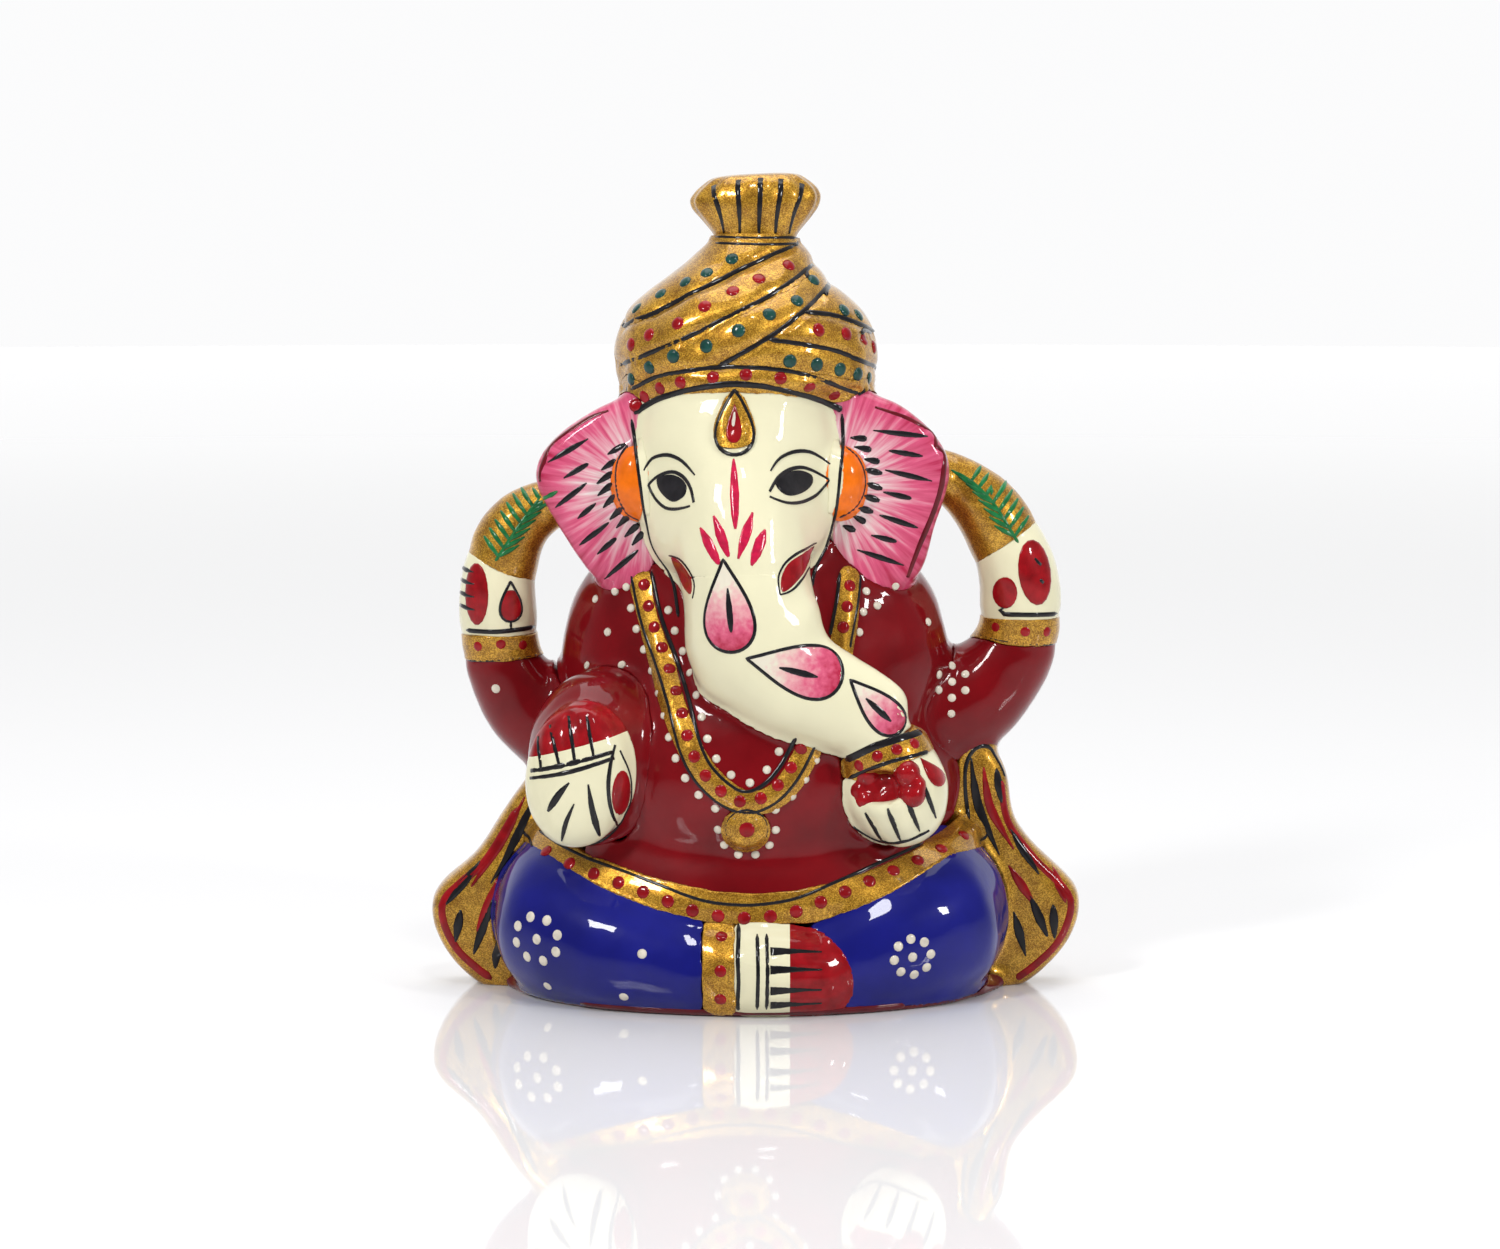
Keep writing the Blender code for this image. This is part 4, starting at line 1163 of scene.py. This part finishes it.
def paint_left_hand(skin, materials):
    ink = Brush(skin, "left_hand_lines", "black", 0.17, bold=1.6)
    ink.strokes(HAND_FINGERS, (0.08, 0.2, 0.16, 0.06))
    ink.stroke([(9.7, 27.6), (12.4, 29.2), (15.4, 30.1), (17.8, 30.5)], (0.3,))
    ink.stroke([(10.0, 25.6), (12.0, 26.9), (14.8, 27.9), (18.2, 28.5)], (0.16,))
    ink.stroke([(10.5, 20.2), (12.6, 18.9), (15.4, 18.9), (18.4, 20.2)], (0.08, 0.14, 0.08))
    ink.finish(materials)
    red = Brush(skin, "left_bangle_dots", "red", 0.16, 0.09)
    red.dots([(11.0, 27.2), (12.9, 28.3), (14.9, 29.0), (16.8, 29.5)], 0.6)
    red.fill(drop((17.4, 28.0), (19.9, 25.0), 0.75), (18.5, 26.6))
    red.finish(materials)


def paint_feet(skin, materials):
    ink = Brush(skin, "foot_lines", "black", 0.08)
    for x in (0.1, 1.1):
        ink.stroke([(x, 9.0), (x + 0.1, 5.0), (x, 1.2)], (0.17,))
    ink.strokes(TOES, (0.42, 0.3, 0.16, 0.1))
    ink.stroke([(-1.9, 10.0), (-1.9, 5.5), (-1.9, 1.0)], (0.2,))
    ink.finish(materials)
    rim = Brush(skin, "bottom_rim", "dark_red", 0.06)
    rim.stroke([(-19, 0.55), (-12, 0.5), (-5, 0.5), (2, 0.5), (9, 0.5), (16, 0.55)], (0.3,))
    rim.finish(materials)
    red = Brush(skin, "cuff_dots", "red", 0.14, 0.09)
    red.dots([(-3.7, 8.7), (-3.8, 5.3), (-3.8, 2.2)], 0.62)
    red.finish(materials)


# The palm leaves of the rear hands: each stem, and which side of the figure it is on.
PALM_STEMS = [([(-23.6, 54.6), (-25.8, 51.8), (-28.6, 47.6)], -1),
              ([(23.4, 56.5), (25.9, 54.1), (28.8, 49.6)], 1)]
LEAFLET, LEAFLET_SPREAD, LEAFLET_LEAN = 3.1, 52, 12


def paint_rear_hands(skin, materials):
    ink = Brush(skin, "rear_hand_lines", "black", 0.12)
    red = Brush(skin, "rear_hand_marks", "red", 0.1, 0.08)
    green = Brush(skin, "palm_leaves", "green", 0.09, 0.08)
    red.fill(oval((-30.7, 43.9), 1.3, 3.4), (-30.5, 43.9))
    red.fill(oval((-27.0, 42.6), 1.2, 1.8), (-27.0, 42.6))
    red.fill(oval((30.6, 46.3), 1.8, 3.6, 8), (30.4, 46.3))
    red.fill(oval((27.4, 44.1), 1.3, 1.75), (27.4, 44.1))
    red.dots([(-30.6, 38.1), (-28.1, 38.4), (-25.8, 38.2), (26.5, 40.2), (29.6, 39.8),
              (32.0, 39.7)], 0.6)
    ink.stroke([(-31.9, 39.8), (-28.5, 39.8), (-24.6, 40.1)], (0.2,))
    ink.stroke([(24.9, 41.9), (29.2, 41.7), (33.2, 41.6)], (0.2,))
    ink.stroke([(-31.8, 36.4), (-28.3, 36.6), (-24.4, 36.9)], (0.13,))
    ink.stroke([(24.4, 39.1), (29.0, 38.5), (33.0, 38.2)], (0.13,))
    for z in (46.4, 45.1, 43.7, 42.3):
        ink.stroke([(-32.6, z + 0.2), (-31.7, z), (-30.9, z - 0.1)], (0.16, 0.2, 0.06))
        ink.stroke([(34.6, z + 1.9), (33.7, z + 2.2), (32.7, z + 2.4)], (0.16, 0.2, 0.06))
    ink.loop(drop((-27.0, 45.4), (-27.0, 40.9), 1.15), 0.12)
    ink.stroke([(-27.0, 41.0), (-27.0, 40.0)], (0.12,))
    for stem, side in PALM_STEMS:
        green.stroke(stem, (0.14,))
        for x, z in spaced(stem, 1.1, 0.3):
            for way in (-1, 1):
                a = math.radians(90 + side * (way * LEAFLET_SPREAD + LEAFLET_LEAN))
                end = (x + LEAFLET * math.cos(a) * 0.8, z + LEAFLET * math.sin(a) * 0.9)
                green.stroke([(x, z), end], (0.14, 0.22, 0.07))
    ink.finish(materials)
    red.finish(materials)
    green.finish(materials)


SHAWL_RED = [[(-25.6, 21.2), (-28.4, 16.0), (-31.6, 11.2)], [(-28.6, 12.2), (-31.0, 6.2)],
             [(25.2, 24.6), (26.0, 20.0), (28.6, 15.4)], [(28.0, 13.6), (31.2, 8.8)],
             [(33.0, 13.2), (34.4, 9.4)]]
SHAWL_BLACK = [[(-24.4, 21.4), (-27.0, 15.8), (-29.4, 11.6)], [(-30.6, 14.0), (-34.4, 9.2)],
               [(-29.2, 9.8), (-31.4, 3.6)], [(-28.6, 6.8), (-29.0, 2.0)],
               [(-32.8, 8.6), (-33.4, 5.0)],
               [(23.8, 25.6), (24.6, 20.4), (27.0, 14.8)], [(26.6, 24.4), (27.2, 20.6)],
               [(28.2, 17.6), (31.4, 12.6)], [(30.4, 10.2), (32.4, 5.6)],
               [(28.6, 8.4), (30.0, 3.4)], [(33.0, 9.2), (33.2, 5.4)]]
SHAWL_BACK = [back((-26, 19), (-29, 13), (-32.5, 8)), back((-24.5, 16), (-27.5, 9), (-30, 3)),
              back((-29, 15), (-33, 10)),
              back((25, 22), (28, 14), (32.5, 8)), back((24.5, 17), (27.5, 9), (30, 3)),
              back((29.5, 15), (33, 11))]
STREAK = (0.08, 0.38, 0.45, 0.3, 0.08)


def paint_shawl(skin, materials):
    red = Brush(skin, "shawl_red_streaks", "red", 0.05, 0.08)
    ink = Brush(skin, "shawl_black_streaks", "black", 0.05, 0.09)
    red.strokes(SHAWL_RED, STREAK)
    red.stroke([(-26.4, 20.0), (-30.2, 13.9), (-34.8, 9.4), (-33.3, 4.2), (-29.4, 0.8)], (0.4,))
    red.stroke([(27.2, 23.0), (28.0, 18.4), (31.4, 13.8), (35.0, 9.6), (33.2, 4.4),
                (29.0, 0.8)], (0.4,))
    ink.strokes(SHAWL_BLACK, STREAK)
    ink.stroke([(23.6, 18.8), (23.2, 21.6), (23.2, 24.6), (24.2, 26.6), (26.0, 26.6),
                (27.6, 23.4)], (0.2,))
    ink.strokes(SHAWL_BACK, STREAK)
    red.finish(materials)
    ink.finish(materials)


# ---------------------------------------------------------------- the stage

def make_floor():
    bm = bmesh.new()
    bmesh.ops.create_circle(bm, cap_ends=True, segments=96, radius=1.9)
    mesh = bpy.data.meshes.new("floor")
    bm.to_mesh(mesh)
    bm.free()
    floor = add_object("floor", mesh)
    material, tree, shader = principled("glossy_white_table")
    shader.inputs["Base Color"].default_value = (0.82, 0.82, 0.83, 1)
    shader.inputs["Roughness"].default_value = 0.03
    away = node_of(tree, "ShaderNodeVectorMath", operation="LENGTH")
    tree.links.new(coordinates(tree), away.inputs[0])
    stops = [(0.2, (0.03, 0.03, 0.03)), (1.0, (0.14, 0.14, 0.142))]
    glow = ramp(tree, away.outputs["Value"], stops)
    tree.links.new(glow, shader.inputs["Emission Color"])
    shader.inputs["Emission Strength"].default_value = 1.0
    floor.data.materials.append(material)


def make_world():
    """White to the eye and behind the figure, dim in front so that the colours stay deep."""
    world = bpy.data.worlds.new("studio")
    bpy.context.scene.world = world
    world.use_nodes = True
    tree = world.node_tree
    background = tree.nodes["Background"]
    split = node_of(tree, "ShaderNodeSeparateXYZ")
    tree.links.new(node_of(tree, "ShaderNodeTexCoord").outputs["Generated"],
                   split.inputs["Vector"])
    shift = node_of(tree, "ShaderNodeMapRange")
    shift.inputs["From Min"].default_value = -1.0
    tree.links.new(split.outputs["Y"], shift.inputs["Value"])
    room = ramp(tree, shift.outputs["Result"],
                [(0.0, (0.08, 0.08, 0.085)), (0.5, (0.25, 0.25, 0.26)), (0.85, (1.0, 1.0, 1.0))])
    paths = node_of(tree, "ShaderNodeLightPath")
    mix = node_of(tree, "ShaderNodeMix", data_type="RGBA")
    tree.links.new(paths.outputs["Is Camera Ray"], mix.inputs["Factor"])
    tree.links.new(room, mix.inputs[6])
    mix.inputs[7].default_value = (0.97, 0.97, 0.975, 1)
    tree.links.new(mix.outputs[2], background.inputs["Color"])


def softbox(name, place, aim, size, power):
    """A rectangular lamp at place that looks towards aim."""
    light = bpy.data.lights.new(name, "AREA")
    light.shape = "RECTANGLE"
    light.size, light.size_y = size[0] * MM, size[1] * MM
    light.energy = power
    obj = bpy.data.objects.new(name, light)
    bpy.context.scene.collection.objects.link(obj)
    obj.location = Vector(place) * MM
    direction = Vector(aim) * MM - obj.location
    obj.rotation_euler = direction.to_track_quat("-Z", "Y").to_euler()


def make_lights():
    softbox("key", (-320, -420, 420), (0, 0, 45), (100, 135), 1.9)
    softbox("fill", (420, -330, 260), (0, 0, 45), (65, 95), 1.05)
    softbox("window", (70, -330, 520), (0, 0, 20), (60, 70), 0.5)
    softbox("top", (0, 60, 600), (0, 0, 40), (500, 400), 1.7)


def make_camera():
    """The photograph's view: a 100 mm lens, 6 degrees down, close to the front."""
    low, high = CAD_BOX
    camera = bpy.data.cameras.new("camera")
    camera.lens = 100.0
    camera.sensor_width = 36.0
    obj = bpy.data.objects.new("camera", camera)
    bpy.context.scene.collection.objects.link(obj)
    obj.location = (-0.66 * MM, low.y - 0.4375, 88.5 * MM)
    obj.rotation_euler = (math.radians(84), 0, 0)
    camera.clip_start, camera.clip_end = 0.01, 20
    bpy.context.scene.camera = obj


# ---------------------------------------------------------------- everything

def sculpt(casting):
    """Grooves along the turban wraps, fingers and toes."""
    skin = Skin(casting)
    press(casting, skin, TURBAN_LINES, 0.55, 0.4)
    press(casting, skin, FINGERS + HAND_FINGERS, 0.4, 0.22)
    press(casting, skin, TOES, 0.4, 0.25)
    press(casting, skin, EAR_STROKES, 0.5, 0.12)


# Toes and fingertips are dipped in red: a point and the normal of the plane where it starts.
RED_TIPS = [("foot", (3.6, 0, 0), (1, 0, 0)), ("raised_hand", (-20, 0, 28.9), (-0.25, 0, 0.97))]


def split_paint(obj, point, normal, material):
    """Gives the part of obj on the front side of a plane another paint."""
    bm = bmesh.new()
    bm.from_mesh(obj.data)
    point, normal = Vector(point) * MM, Vector(normal)
    bmesh.ops.bisect_plane(bm, geom=bm.verts[:] + bm.edges[:] + bm.faces[:], plane_co=point,
                           plane_no=normal)
    obj.data.materials.append(material)
    for face in bm.faces:
        if (face.calc_center_median() - point).dot(normal) > 0:
            face.material_index = 1
    bm.to_mesh(obj.data)
    bm.free()
    obj.data.shade_smooth()


EAR_ROOTS = {"right_ear": (-12.0, 56.0), "left_ear": (8.4, 56.0)}


def set_ear_tone(obj, root):
    """tone grows from the face to the rim; turn is the angle round the ear's root."""
    away = points_of(obj)[:, [0, 2]] - np.array(root)
    tone = (np.hypot(away[:, 0], away[:, 1]) - 3.0) / 11.0
    turn = np.arctan2(away[:, 1], away[:, 0])
    for name, values in (("tone", tone), ("turn", turn)):
        layer = obj.data.attributes.new(name, "FLOAT", "POINT")
        layer.data.foreach_set("value", values.astype(np.float32))


def build():
    skins = make_skins()
    casting = make_casting(skins)
    sculpt(casting)
    skin = Skin(casting)
    bpy.data.objects.remove(casting)
    materials = make_materials()
    crest = Skin(skins["turban_crest"])
    press(skins["turban_crest"], crest, PLEATS, 0.5, 0.1)
    for node, obj in skins.items():
        if node == "turban_crest":
            lay_on(obj, skin, lift_of(node), below=CREST_FOOT)
        elif node.startswith("turban"):
            lay_on(obj, skin, lift_of(node), snap=TURBAN_SNAP)
        else:
            lay_on(obj, skin, lift_of(node))
    skins["sweet"] = make_sweet(skin)
    for node, obj in skins.items():
        finish_piece(obj, paint_of(node), materials)
        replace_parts(obj, node)
    for node, root in EAR_ROOTS.items():
        set_ear_tone(skins[node], root)
    for node, point, normal in RED_TIPS:
        split_paint(skins[node], point, normal, materials["red"])
    paint_crest(Skin(skins["turban_crest"]), materials)
    for paint in (paint_turban, paint_face, paint_trunk, paint_ears, paint_flowers,
                  paint_necklace, paint_sash, paint_raised_hand, paint_left_hand, paint_feet,
                  paint_rear_hands, paint_shawl):
        paint(skin, materials)
    make_floor()
    make_world()
    make_lights()
    make_camera()
    bpy.context.scene.view_settings.view_transform = "Standard"


build()
